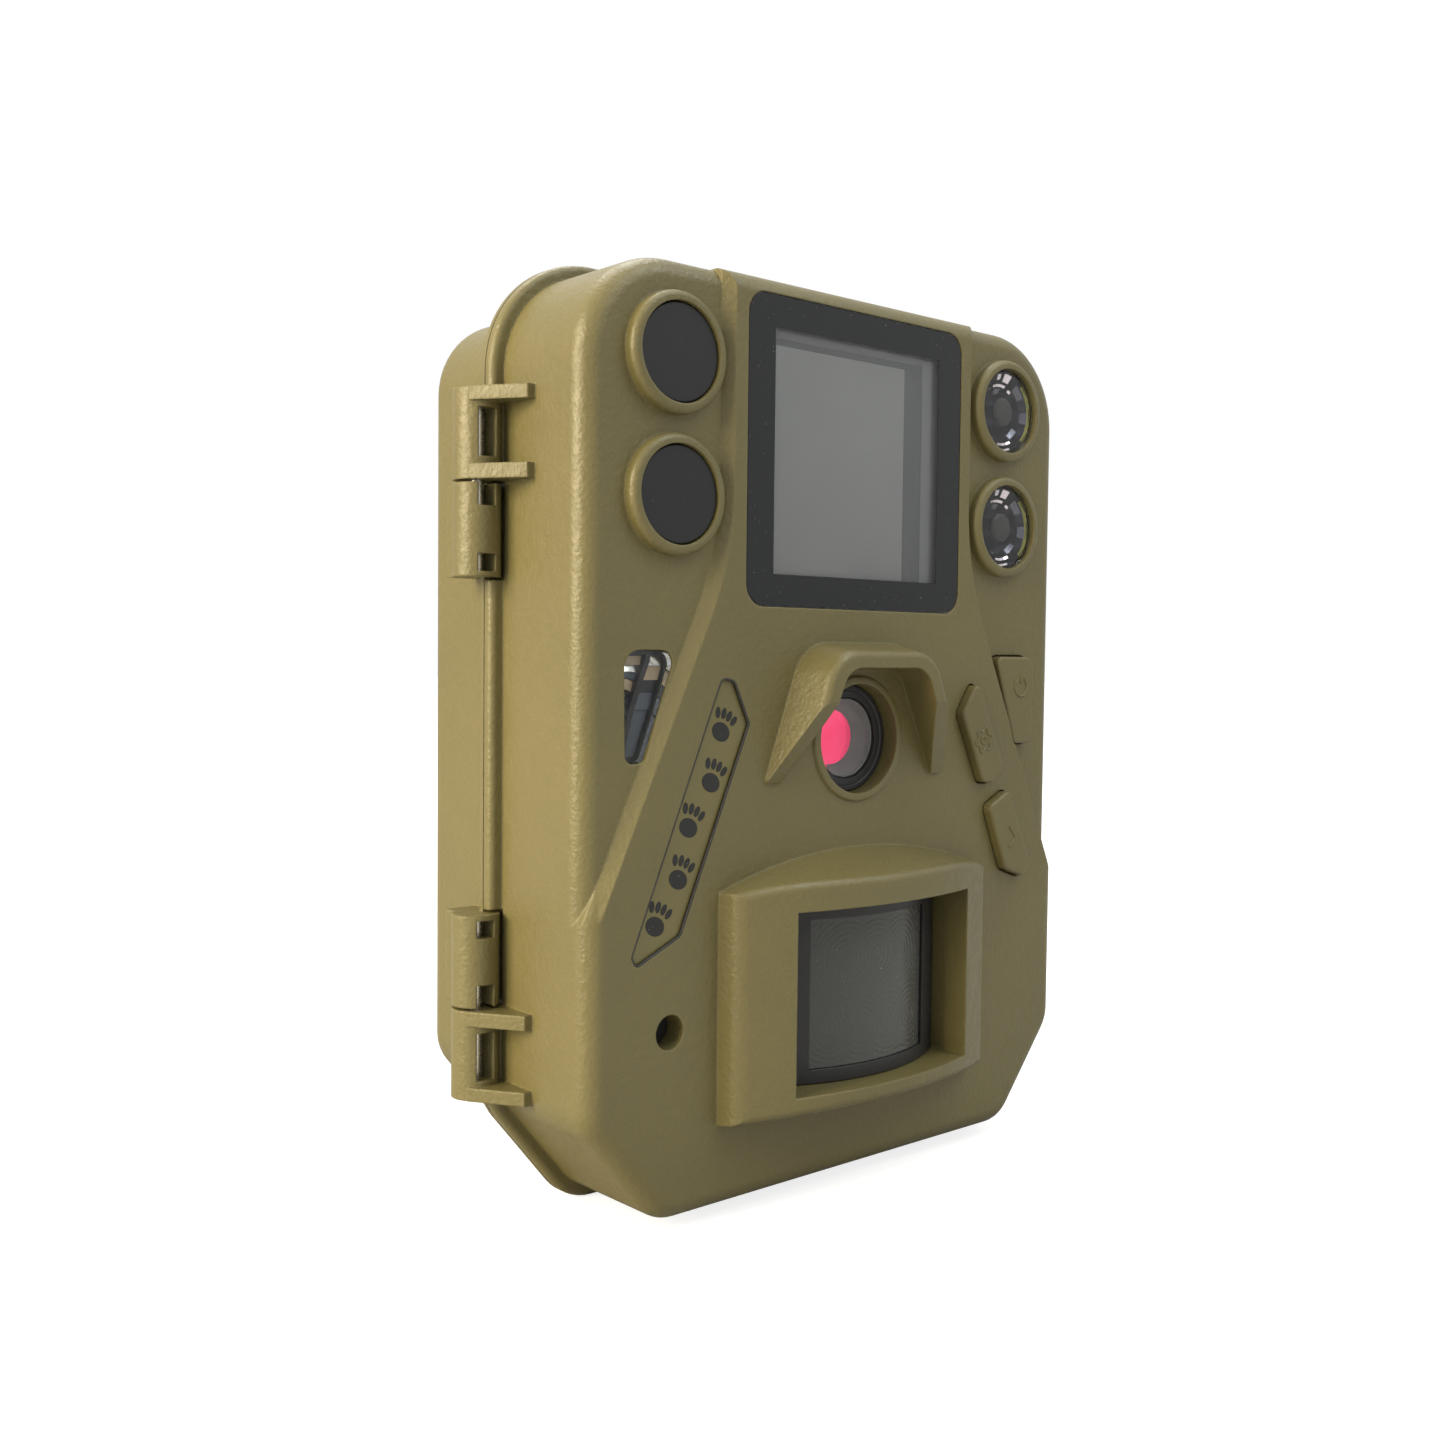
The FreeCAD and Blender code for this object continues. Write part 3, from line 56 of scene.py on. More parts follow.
class Shader:
    """A procedural material round a Principled surface. Its patterns read object coordinates, in metres."""

    def __init__(self, name, color, roughness, metallic=0.0, **values):
        self.material = bpy.data.materials.new(name)
        self.material.use_nodes = True
        self.tree = self.material.node_tree
        self.surface = self.tree.nodes["Principled BSDF"]
        self.coordinates = self.tree.nodes.new("ShaderNodeTexCoord").outputs["Object"]
        self.color = color
        self.put("Base Color", (*color, 1.0))
        self.put("Roughness", roughness)
        self.put("Metallic", metallic)
        for key, value in values.items():
            self.put(key.replace("_", " "), value)

    def put(self, socket, value):
        self.surface.inputs[socket].default_value = value

    def link(self, output, target):
        self.tree.links.new(output, target)

    def node(self, kind, **values):
        made = self.tree.nodes.new(kind)
        for key, value in values.items():
            setattr(made, key, value)
        return made

    def stretched(self, scale):
        """Coordinates scaled differently along X, Y and Z."""
        mapping = self.node("ShaderNodeMapping")
        mapping.inputs["Scale"].default_value = scale
        self.link(self.coordinates, mapping.inputs["Vector"])
        return mapping.outputs["Vector"]

    def noise(self, scale, detail=2.0, coordinates=None):
        made = self.node("ShaderNodeTexNoise")
        made.inputs["Scale"].default_value = scale
        made.inputs["Detail"].default_value = detail
        self.link(coordinates or self.coordinates, made.inputs["Vector"])
        return made.outputs["Fac"]

    def span(self, source, low, high, start=0.3, end=0.7):
        """Maps start..end of the source to low..high."""
        made = self.node("ShaderNodeMapRange")
        for socket, value in (("From Min", start), ("From Max", end), ("To Min", low), ("To Max", high)):
            made.inputs[socket].default_value = value
        self.link(source, made.inputs["Value"])
        return made.outputs["Result"]

    def axis(self, name):
        split = self.node("ShaderNodeSeparateXYZ")
        self.link(self.coordinates, split.inputs["Vector"])
        return split.outputs[name]

    def maths(self, operation, first, second):
        made = self.node("ShaderNodeMath", operation=operation)
        for socket, value in zip(made.inputs, (first, second)):
            if isinstance(value, (int, float)):
                socket.default_value = value
            else:
                self.link(value, socket)
        return made.outputs["Value"]

    def mix(self, factor, first, second):
        made = self.node("ShaderNodeMix", data_type="RGBA")
        self.link(factor, made.inputs["Factor"])
        for socket, value in ((made.inputs["A"], first), (made.inputs["B"], second)):
            if isinstance(value, tuple):
                socket.default_value = (*value, 1.0)
            else:
                self.link(value, socket)
        return made.outputs["Result"]

    def varied(self, amount, scale, color=None):
        """The colour, a little lighter and darker from place to place."""
        base = color or self.color
        dark = tuple(c * (1 - amount) for c in base)
        light = tuple(min(1.0, c * (1 + amount)) for c in base)
        return self.mix(self.span(self.noise(scale, 3.0), 0.0, 1.0), dark, light)

    def bump(self, height, strength, distance, soft_edge=0.0):
        made = self.node("ShaderNodeBump")
        made.inputs["Strength"].default_value = strength
        made.inputs["Distance"].default_value = distance
        self.link(height, made.inputs["Height"])
        if soft_edge:
            bevel = self.node("ShaderNodeBevel", samples=4)
            bevel.inputs["Radius"].default_value = soft_edge
            self.link(bevel.outputs["Normal"], made.inputs["Normal"])
        self.link(made.outputs["Normal"], self.surface.inputs["Normal"])

    def paint(self, output, socket="Base Color"):
        self.link(output, self.surface.inputs[socket])


def moulded(name, color, roughness=0.40, grain=0.50, soft_edge=0.3 * MM, grain_scale=2400.0):
    """Moulded plastic: spark-eroded texture, slight flow variation, and edges made paler in patches by a
    painted highlight.
    """
    shader = Shader(name, color, roughness)
    body = shader.varied(0.05, 55.0)
    if soft_edge:
        geometry = shader.node("ShaderNodeNewGeometry")
        bevel = shader.node("ShaderNodeBevel", samples=4)
        bevel.inputs["Radius"].default_value = 1.6 * soft_edge
        dot = shader.node("ShaderNodeVectorMath", operation="DOT_PRODUCT")
        shader.link(bevel.outputs["Normal"], dot.inputs[0])
        shader.link(geometry.outputs["Normal"], dot.inputs[1])
        # Painted highlight: where the bevel normal turns away from the face normal, at edges, the colour is
        # made paler in patches.
        edge = shader.span(dot.outputs["Value"], 0.55, 0.0, start=0.80, end=0.99)
        painted_edge_highlight = shader.maths("MULTIPLY", edge, shader.span(shader.noise(260.0), 0.5, 1.0))
        body = shader.mix(painted_edge_highlight, body, tuple(min(1.0, c * 1.55 + 0.02) for c in color))
    shader.paint(body)
    shader.paint(shader.span(shader.noise(800.0), roughness - 0.06, roughness + 0.07), "Roughness")
    fine = shader.noise(grain_scale, 2.0)
    coarse = shader.noise(grain_scale * 0.42, 1.0)
    height = shader.maths("ADD", fine, shader.maths("MULTIPLY", coarse, 0.8))
    shader.bump(height, grain, 0.12 * MM, soft_edge)
    return shader.material


def metal(name, color, roughness, grain=(400.0, 400.0, 6000.0), strength=0.08):
    """Drawn or turned metal: fine lines along one direction and small patches of duller surface."""
    shader = Shader(name, color, roughness, metallic=1.0)
    shader.paint(shader.varied(0.07, 180.0))
    lines = shader.noise(1.0, 2.0, shader.stretched(grain))
    shader.paint(shader.span(lines, roughness * 0.7, roughness * 1.5), "Roughness")
    shader.bump(lines, strength, 0.03 * MM)
    return shader.material


def smooth_dark(name, color, roughness, sheen_grain=0.0, **values):
    """A smooth dark surface with faint dust and slight gloss variation."""
    shader = Shader(name, color, roughness, **values)
    dust = shader.span(shader.noise(4200.0, 0.0), 0.0, 1.0, start=0.83, end=0.87)
    shader.paint(shader.mix(dust, shader.varied(0.06, 40.0), tuple(c + 0.10 for c in color)))
    shader.paint(shader.span(shader.noise(60.0), roughness * 0.92, roughness * 1.1), "Roughness")
    if sheen_grain:
        shader.bump(shader.noise(3000.0), sheen_grain, 0.02 * MM)
    return shader.material


def clear(name, tint, roughness=0.02, ior=1.46, waviness=0.02):
    """Clear moulded plastic or glass, very slightly wavy."""
    shader = Shader(name, tint, roughness, Transmission_Weight=1.0, IOR=ior)
    shader.paint(shader.varied(0.015, 90.0))
    if waviness:
        shader.bump(shader.noise(350.0, 1.0), waviness, 0.02 * MM)
    return shader.material


def circuit(name):
    """Green solder mask over copper tracks, with bright pads."""
    shader = Shader(name, (0.012, 0.075, 0.032), 0.35, Coat_Weight=0.4)
    tracks = shader.node("ShaderNodeTexBrick")
    shader.link(shader.coordinates, tracks.inputs["Vector"])
    tracks.inputs["Scale"].default_value = 420.0
    tracks.inputs["Mortar Size"].default_value = 0.09
    traced = shader.mix(tracks.outputs["Fac"], (0.010, 0.070, 0.030), (0.020, 0.120, 0.050))
    pads = shader.node("ShaderNodeTexVoronoi")
    pads.inputs["Scale"].default_value = 380.0
    shader.link(shader.coordinates, pads.inputs["Vector"])
    dots = shader.span(pads.outputs["Distance"], 1.0, 0.0, start=0.10, end=0.13)
    shader.paint(shader.mix(dots, traced, (0.62, 0.58, 0.45)))
    shader.bump(tracks.outputs["Fac"], 0.25, 0.04 * MM)
    return shader.material


def jacket(name, low, high, positive_up):
    """A cell's printed jacket: a pale band at the positive end, a dark body, and bare steel at both ends."""
    shader = Shader(name, (0.020, 0.060, 0.045), 0.28, Coat_Weight=0.6)
    along = shader.axis("Z")
    length = high - low
    share = shader.span(along, 0.0, 1.0, start=low, end=high)
    if not positive_up:
        share = shader.maths("SUBTRACT", 1.0, share)
    band_start, ring_half = 0.74, 0.008
    band = shader.maths("GREATER_THAN", share, band_start)
    printed = shader.mix(band, shader.varied(0.10, 60.0), (0.72, 0.52, 0.16))
    distance = shader.maths("ABSOLUTE", shader.maths("SUBTRACT", share, band_start), 0.0)
    ring = shader.maths("LESS_THAN", distance, ring_half)
    printed = shader.mix(ring, printed, (0.80, 0.80, 0.76))
    button_height, flat_height = 1.9 * MM, 0.45 * MM
    bare = shader.maths("GREATER_THAN", share, 1.0 - button_height / length)
    flat_end = shader.maths("LESS_THAN", share, flat_height / length)
    steel = shader.maths("MAXIMUM", bare, flat_end)
    shader.paint(shader.mix(steel, printed, (0.70, 0.69, 0.66)))
    shader.paint(steel, "Metallic")
    shader.paint(shader.span(shader.noise(500.0), 0.22, 0.36), "Roughness")
    shader.bump(shader.noise(900.0), 0.04, 0.02 * MM)
    return shader.material


OLIVE = (0.143, 0.121, 0.046)

MATERIALS = {
    "olive_shell": moulded("olive_shell_plastic", OLIVE),
    "olive_button": moulded("olive_button_plastic", tuple(c * 0.97 for c in OLIVE), 0.44, 0.18, 0.22 * MM),
    "olive_trim": moulded("olive_trim_plastic", tuple(c * 1.12 for c in OLIVE), 0.38, 0.10, 0.15 * MM),
    "latch_plastic": moulded("latch_plastic_grained", tuple(c * 0.90 for c in OLIVE), 0.48, 0.24),
    "inner_plastic": moulded("inner_plastic_grained", (0.022, 0.022, 0.020), 0.5, 0.2),
    "lens_black": moulded("lens_black_satin", (0.020, 0.020, 0.021), 0.42, 0.10, 0.12 * MM, 4200.0),
    "ir_filter": smooth_dark("infrared_filter_black", (0.012, 0.013, 0.013), 0.34, 0.05),
    "display_panel": smooth_dark("display_panel_grey", (0.16, 0.165, 0.166), 0.35),
    "display_glass": clear("display_glass_clear", (0.97, 0.98, 0.98), 0.03, 1.46, 0.0),
    "clear_lens": clear("clear_lens_plastic", (0.98, 0.985, 0.985), 0.02, 1.36),
    "lens_glass": clear("coated_lens_glass", (0.97, 0.965, 0.97), 0.01, 1.42, 0.0),
    # Painted reflection: the cups' near-black colour stands in for the dark reflections that the lamp cups
    # show.
    "reflector": metal("reflector_painted_dark_reflection", (0.018, 0.019, 0.026), 0.12, (900.0, 900.0, 900.0), 0.02),
    "emitter": smooth_dark("emitter_phosphor", (0.026, 0.027, 0.018), 0.5),
    "circuit_board": circuit("circuit_board_green"),
    "chip": smooth_dark("chip_epoxy", (0.018, 0.018, 0.020), 0.45, 0.15),
    "fresnel_sheet": smooth_dark("fresnel_sheet_smoked", (0.062, 0.063, 0.058), 0.24),
    "sensor_can": metal("sensor_can_plated", (0.66, 0.66, 0.66), 0.30),
    "card": smooth_dark("card_plastic", (0.014, 0.018, 0.030), 0.42, 0.12),
    "gasket_rubber": moulded("gasket_rubber_soft", (0.016, 0.016, 0.016), 0.62, 0.2, 0.2 * MM),
    "steel": metal("pin_steel", (0.74, 0.72, 0.67), 0.30),
    "contact_metal": metal("contact_nickel", (0.74, 0.72, 0.66), 0.26),
    "brass": metal("insert_brass", (0.72, 0.50, 0.20), 0.26, (2500.0, 2500.0, 300.0)),
    "cell_jacket": smooth_dark("cell_jacket_plain", (0.02, 0.06, 0.045), 0.3),
}


# ---- CAD nodes: shading and materials


def weld_shading(obj, sharp=math.radians(26)):
    """Shades a CAD node smoothly across its faces' seams. Its points stay where they are."""
    mesh = obj.data
    if "custom_normal" in mesh.attributes:
        mesh.attributes.remove(mesh.attributes["custom_normal"])
    mesh.shade_smooth()
    keys = [tuple(round(c, 7) for c in v.co) for v in mesh.vertices]
    sides = {}
    for face in mesh.polygons:
        for pair in face.edge_keys:
            ends = tuple(sorted((keys[pair[0]], keys[pair[1]])))
            sides.setdefault(ends, []).append(face.normal.copy())
    for edge in mesh.edges:
        first, second = edge.vertices
        normals = sides.get(tuple(sorted((keys[first], keys[second]))), [])
        if len(normals) != 2 or normals[0].angle(normals[1], 0.0) > sharp:
            edge.use_edge_sharp = True
    weld = obj.modifiers.new("weld", "WELD")
    weld.merge_threshold = 0.0005 * MM
    weighted = obj.modifiers.new("weighted_normal", "WEIGHTED_NORMAL")
    weighted.keep_sharp = True
    weighted.weight = 60


def dress_cad_nodes():
    for row in frame["record"]["subparts"]:
        obj = NODES[row["node"]]
        weld_shading(obj)
        obj.data.materials[0] = MATERIALS[row["material_slot"]]
    for index in range(1, 5):
        name = f"battery_cell_{index}"
        low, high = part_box(name)
        NODES[name].data.materials[0] = jacket(f"{name}_jacket", low.z, high.z, index % 2 == 1)


# ---- mesh helpers


def piece(name, mesh, body, slot, material=None, replaces=(), angle=30.0):
    """Links a finished mesh as a piece of the object, in the frame's own coordinates."""
    mesh.shade_smooth()
    mesh.set_sharp_from_angle(angle=math.radians(angle))
    obj = bpy.data.objects.new(name, mesh)
    bpy.context.scene.collection.objects.link(obj)
    mesh.materials.append(material or MATERIALS[slot])
    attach(obj, body)
    if replaces:
        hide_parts(*replaces)
    return obj


def finished(bm, name):
    bmesh.ops.recalc_face_normals(bm, faces=bm.faces)
    mesh = bpy.data.meshes.new(name)
    bm.to_mesh(mesh)
    bm.free()
    return mesh


def hull(points):
    """The convex outline of some (x, z) points, in order."""
    points = sorted(set((round(x, 7), round(z, 7)) for x, z in points))

    def half(ordered):
        chain = []
        for p in ordered:
            while len(chain) > 1:
                (ax, az), (bx, bz) = chain[-2], chain[-1]
                if (bx - ax) * (p[1] - az) - (bz - az) * (p[0] - ax) > 1e-12:
                    break
                chain.pop()
            chain.append(p)
        return chain[:-1]

    return half(points) + half(points[::-1])


def front_outline(node_name):
    """A CAD node's outline as seen from the front."""
    return hull([(v.co.x, v.co.z) for v in NODES[node_name].data.vertices])


def grown(outline, amount):
    """A convex outline moved outwards, or inwards when amount is negative."""
    centre_x = sum(x for x, z in outline) / len(outline)
    centre_z = sum(z for x, z in outline) / len(outline)
    result = []
    for index, (x, z) in enumerate(outline):
        before = Vector(outline[index - 1])
        after = Vector(outline[(index + 1) % len(outline)])
        along = (after - before).normalized()
        normal = Vector((along.y, -along.x))
        if normal.dot(Vector((x - centre_x, z - centre_z))) < 0:
            normal = -normal
        result.append((x + normal.x * amount, z + normal.y * amount))
    return result


def rectangle(left, right, bottom, top):
    return [(left, bottom), (right, bottom), (right, top), (left, top)]


def add_band(bm, first, second, closed=True):
    """Four-sided faces between two rows of points."""
    count = len(first)
    for i in range(count if closed else count - 1):
        j = (i + 1) % count
        bm.faces.new((first[i], first[j], second[j], second[i]))


def add_plate(bm, outline, front, back, bevel=0.0):
    """A flat plate between two Y positions, its front rim bevelled."""
    near = [bm.verts.new((x, front, z)) for x, z in outline]
    far = [bm.verts.new((x, back, z)) for x, z in outline]
    count = len(outline)
    face = bm.faces.new(near)
    bm.faces.new(far[::-1])
    for i in range(count):
        j = (i + 1) % count
        bm.faces.new((near[i], far[i], far[j], near[j]))
    if bevel:
        bmesh.ops.bevel(bm, geom=list(face.edges), offset=bevel, segments=3, profile=0.5, affect="EDGES")


def plate(name, outline, front, back, bevel=0.0):
    bm = bmesh.new()
    add_plate(bm, outline, front, back, bevel)
    return finished(bm, name)


def add_lathe(bm, profile, centre, segments=64):
    """Turns a (radius, height) profile about an axis through centre. Height runs to the front, along -Y."""
    to_front = Matrix.Rotation(math.radians(90), 3, "X")
    rings = []
    for radius, height in profile:
        if radius < 1e-9:
            rings.append([bm.verts.new(Vector(centre) + to_front @ Vector((0, 0, height)))])
            continue
        ring = []
        for step in range(segments):
            angle = 2 * math.pi * step / segments
            point = to_front @ Vector((radius * math.cos(angle), radius * math.sin(angle), height))
            ring.append(bm.verts.new(Vector(centre) + point))
        rings.append(ring)
    for lower, upper in zip(rings, rings[1:]):
        for step in range(segments):
            following = (step + 1) % segments
            corners = [lower[step % len(lower)], lower[following % len(lower)]]
            corners += [upper[following % len(upper)], upper[step % len(upper)]]
            unique = list(dict.fromkeys(corners))
            if len(unique) > 2:
                bm.faces.new(unique)


def lathe(name, profile, centre, segments=64):
    bm = bmesh.new()
    add_lathe(bm, profile, centre, segments)
    return finished(bm, name)


def arc_profile(radius, rise, base, steps=10):
    """Points of a shallow dome from its rim at (radius, base) to its top at (0, base + rise)."""
    return [
        (radius * math.cos(math.pi / 2 * i / steps), base + rise * math.sin(math.pi / 2 * i / steps))
        for i in range(steps + 1)
    ]


def stroke(name, strokes, width):
    """Round-backed lines through lists of points, as one mesh. Each entry is (points, closed)."""
    curve = bpy.data.curves.new(f"{name}_line", "CURVE")
    curve.dimensions = "3D"
    curve.bevel_depth = width / 2
    curve.bevel_resolution = 3
    curve.use_fill_caps = True
    for points, closed in strokes:
        spline = curve.splines.new("POLY")
        spline.points.add(len(points) - 1)
        for target, point in zip(spline.points, points):
            target.co = (*point, 1.0)
        spline.use_cyclic_u = closed
    holder = bpy.data.objects.new(f"{name}_line", curve)
    mesh = bpy.data.meshes.new_from_object(holder)
    bpy.data.objects.remove(holder)
    bpy.data.curves.remove(curve)
    mesh.name = name
    mesh.materials.clear()
    return mesh


def circle_points(centre, radius, start, end, steps, depth):
    points = []
    for i in range(steps + 1):
        angle = math.radians(start + (end - start) * i / steps)
        points.append((centre.x + radius * math.cos(angle), depth, centre.z + radius * math.sin(angle)))
    return points


# ---- display


def build_display():
    """A pane with a glossy black border, and the panel behind it with its polariser and darker strips that
    paint the border's shadow on it.
    """
    low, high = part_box("lcd_window")
    outline = front_outline("lcd_window")
    pane = plate("display_pane", outline, low.y, high.y, 0.1 * MM)
    piece("display_pane", pane, HOUSING, "display_glass", replaces=["lcd_window"])

    opening, opening_left = 12.85 * MM, 12.95 * MM
    mask_front, mask_back, mask_inset = 0.03 * MM, 0.02 * MM, 0.10 * MM
    centre_x, centre_z = (low.x + high.x) / 2, (low.z + high.z) / 2
    left, right = centre_x - opening_left, centre_x + opening
    bottom, top = centre_z - opening, centre_z + opening
    bm = bmesh.new()
    rim = grown(outline, -mask_inset)
    rings = []
    for depth in (low.y - mask_front, low.y + mask_back):
        outer = [bm.verts.new((x, depth, z)) for x, z in rim]
        inner = []
        found = {}
        for x, z in rim:
            place = (min(max(x, left), right), min(max(z, bottom), top))
            if place not in found:
                found[place] = bm.verts.new((place[0], depth, place[1]))
            inner.append(found[place])
        rings.append((outer, inner))
    (front_outer, front_inner), (back_outer, back_inner) = rings
    for i in range(len(rim)):
        j = (i + 1) % len(rim)
        for outer, inner in rings:
            bm.faces.new(list(dict.fromkeys((outer[i], outer[j], inner[j], inner[i]))))
        bm.faces.new((front_outer[i], front_outer[j], back_outer[j], back_outer[i]))
        if front_inner[i] is not front_inner[j]:
            bm.faces.new((front_inner[i], front_inner[j], back_inner[j], back_inner[i]))
    mask = smooth_dark("display_mask_gloss", (0.010, 0.011, 0.012), 0.16)
    piece("display_mask", finished(bm, "display_mask"), HOUSING, "display_glass", mask)

    low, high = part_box("lcd_panel")
    face = low.y + 0.10 * MM
    module = plate("display_module", rectangle(low.x, high.x, low.z, high.z), face, high.y, 0.15 * MM)
    # The module's grey, where it shows in the gaps beside the polariser, is partly painted shade from the
    # border.
    grey = smooth_dark("display_frame_grey_and_painted_shade", (0.112, 0.114, 0.120), 0.42)
    piece("display_module", module, HOUSING, "display_panel", grey, ["lcd_panel"])

    surface_right, strip_left = centre_x + 7.70 * MM, centre_x + 10.70 * MM
    surface_top, strip_bottom = top - 1.65 * MM, top - 0.95 * MM
    margin, sheet_half = 0.2 * MM, 0.05 * MM
    left, right = low.x + margin, high.x - margin
    bottom, top = low.z + margin, high.z - margin
    # Painted shadow: the side and top strips are darker to stand in for the shadow the border casts on the
    # panel.
    polariser = smooth_dark("display_polariser", (0.300, 0.305, 0.303), 0.30)
    shadow_tone = smooth_dark("display_painted_border_shadow", (0.205, 0.208, 0.215), 0.36)
    for name, corners, material in (
        ("display_surface", rectangle(left, surface_right, bottom, surface_top), polariser),
        ("display_side_painted_shadow", rectangle(strip_left, right, bottom, top), shadow_tone),
        ("display_top_painted_shadow", rectangle(left, strip_left, strip_bottom, top), shadow_tone),
    ):
        mesh = plate(name, corners, face - sheet_half, face + sheet_half, 0.02 * MM)
        piece(name, mesh, HOUSING, "display_panel", material)


# ---- lamps


def faceted_cup(name, centre, front, back, radius, floor_radius):
    """A reflector of flat facets, as a closed solid: facets inside, a plain wall outside."""
    facets, first_turn = 9, 0.35
    levels = [(radius, front, 0.0), (radius * 0.86, front + (back - front) * 0.30, 0.5)]
    levels += [(radius * 0.66, front + (back - front) * 0.66, 0.0), (floor_radius, back - 0.2 * MM, 0.5)]
    bm = bmesh.new()
    rings = []
    for ring_radius, depth, shift in levels:
        ring = []
        for step in range(facets):
            angle = 2 * math.pi * (step + shift) / facets + first_turn
            x, z = centre.x + ring_radius * math.cos(angle), centre.z + ring_radius * math.sin(angle)
            ring.append(bm.verts.new((x, depth, z)))
        rings.append(ring)
    for index, (outer, inner) in enumerate(zip(rings, rings[1:])):
        lead = 1 if index % 2 else 0
        for step in range(facets):
            following = (step + 1) % facets
            bm.faces.new((outer[step], outer[following], inner[(step + lead) % facets]))
            if lead:
                bm.faces.new((inner[step], inner[following], outer[step]))
            else:
                bm.faces.new((inner[step], inner[following], outer[following]))
    bm.faces.new(rings[-1])
    rim = rings[0]
    wall = [bm.verts.new((v.co.x, back, v.co.z)) for v in rim]
    add_band(bm, rim, wall)
    bm.faces.new(wall)
    return finished(bm, name)


def add_sector(bm, centre, front, back, radius, shares, turn, thickness=0.08 * MM):
    """A thin facet of a ring, lying along the cup's slope between two shares of its radius."""
    degrees_per_step, slope = 10, 0.62
    steps = max(2, round((turn[1] - turn[0]) / degrees_per_step))
    layers = []
    for lift in (0.0, thickness):
        rows = []
        for share in shares:
            depth = front + (back - front) * slope * (1 - share) + lift
            points = circle_points(centre, radius * share, turn[0], turn[1], steps, depth)
            rows.append([bm.verts.new(point) for point in points])
        layers.append(rows)
    add_slab(bm, *layers)


def add_slab(bm, near, far):
    """A thin solid between two layers, each of two open rows of points."""
    for rows in (near, far):
        add_band(bm, rows[0], rows[1], closed=False)
    for row in (0, 1):
        add_band(bm, near[row], far[row], closed=False)
    for i in (0, -1):
        bm.faces.new((near[0][i], near[1][i], far[1][i], far[0][i]))


def reflector_cup(level):
    """The middle, front, back and radius of a lamp's reflector."""
    low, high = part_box(f"flash_reflector_{level}")
    return (low + high) / 2, low.y, high.y, (high.x - low.x) / 2


def build_lamps():
    """The domed lenses and the cups behind them."""
    floor_radius = 2.1 * MM
    for level in LEVELS:
        low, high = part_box(f"flash_lens_{level}")
        centre = (low + high) / 2
        radius = (high.x - low.x) / 2
        thickness = high.y - low.y
        seat = Vector((centre.x, high.y, centre.z))
        profile = [(0.0, 0.0), (radius, 0.0), (radius, thickness - 0.25 * MM)]
        profile += arc_profile(radius - 0.12 * MM, 0.22 * MM, thickness - 0.2 * MM, 8)
        name = f"lamp_lens_{level}"
        piece(name, lathe(name, profile, seat), HOUSING, "clear_lens", replaces=[f"flash_lens_{level}"])

        _, front, back, cup_radius = reflector_cup(level)
        name = f"lamp_cup_{level}"
        mesh = faceted_cup(name, centre, front + 0.05 * MM, back, cup_radius, floor_radius)
        piece(name, mesh, HOUSING, "reflector", replaces=[f"flash_reflector_{level}"], angle=1.0)


def build_lamp_cores():
    """A small ten-sided knob behind the middle of each lens."""
    gap, rise = 0.75 * MM, 0.25 * MM
    profile = [(0.0, 0.0), (1.35 * MM, 0.0), (1.75 * MM, 0.35 * MM)]
    profile += arc_profile(1.6 * MM, rise, 0.45 * MM, 6)
    bm = bmesh.new()
    for level in LEVELS:
        low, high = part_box(f"flash_lens_{level}")
        core = Vector(((low.x + high.x) / 2, high.y + gap, (low.z + high.z) / 2))
        add_lathe(bm, profile, core, segments=10)
    piece("lamp_cores", finished(bm, "lamp_cores"), HOUSING, "emitter", angle=20.0)


# Painted reflections in each lamp's cup. Each patch: the inner and outer share of the cup's radius, then its
# first and last angle in degrees.
LAMP_PAINTED_REFLECTIONS = {
    "bright": [
        (0.74, 0.92, 72, 88), (0.62, 0.68, 74, 112), (0.78, 0.90, 96, 104), (0.60, 0.66, 118, 134),
        (0.74, 0.80, 262, 296), (0.60, 0.64, 244, 262), (0.88, 0.92, 250, 286), (0.60, 0.66, 52, 62),
    ],
    "grey": [
        (0.46, 0.58, 84, 106), (0.70, 0.88, 126, 152), (0.50, 0.80, 206, 228), (0.60, 0.72, 300, 326),
        (0.70, 0.86, 28, 54), (0.62, 0.78, 160, 178), (0.72, 0.90, 345, 365),
    ],
    "yellow": [(0.90, 0.97, -44, 46)],
}


def build_lamp_painted_reflections():
    """Thin patches in each lamp's cup whose colours paint its reflections: bright glints, grey mid tones and
    a yellow reflection of the olive rim.
    """
    even = (900.0, 900.0, 900.0)
    # Each tone paints a reflection: a pink-white glint, a grey mid tone, and the olive rim's yellow.
    tones = {
        "bright": metal("reflector_painted_glint", (0.95, 0.84, 0.90), 0.12, even, 0.02),
        "grey": metal("reflector_painted_mid_reflection", (0.12, 0.12, 0.15), 0.16, even, 0.02),
        "yellow": smooth_dark("reflector_painted_yellow_reflection", (0.42, 0.42, 0.05), 0.4),
    }
    for tone, sectors in LAMP_PAINTED_REFLECTIONS.items():
        name = f"lamp_painted_reflection_patches_{tone}"
        bm = bmesh.new()
        for level in LEVELS:
            cup = reflector_cup(level)
            for inner, outer, start, end in sectors:
                add_sector(bm, *cup, (inner, outer), (start, end))
        piece(name, finished(bm, name), HOUSING, "reflector", tones[tone], angle=1.0)


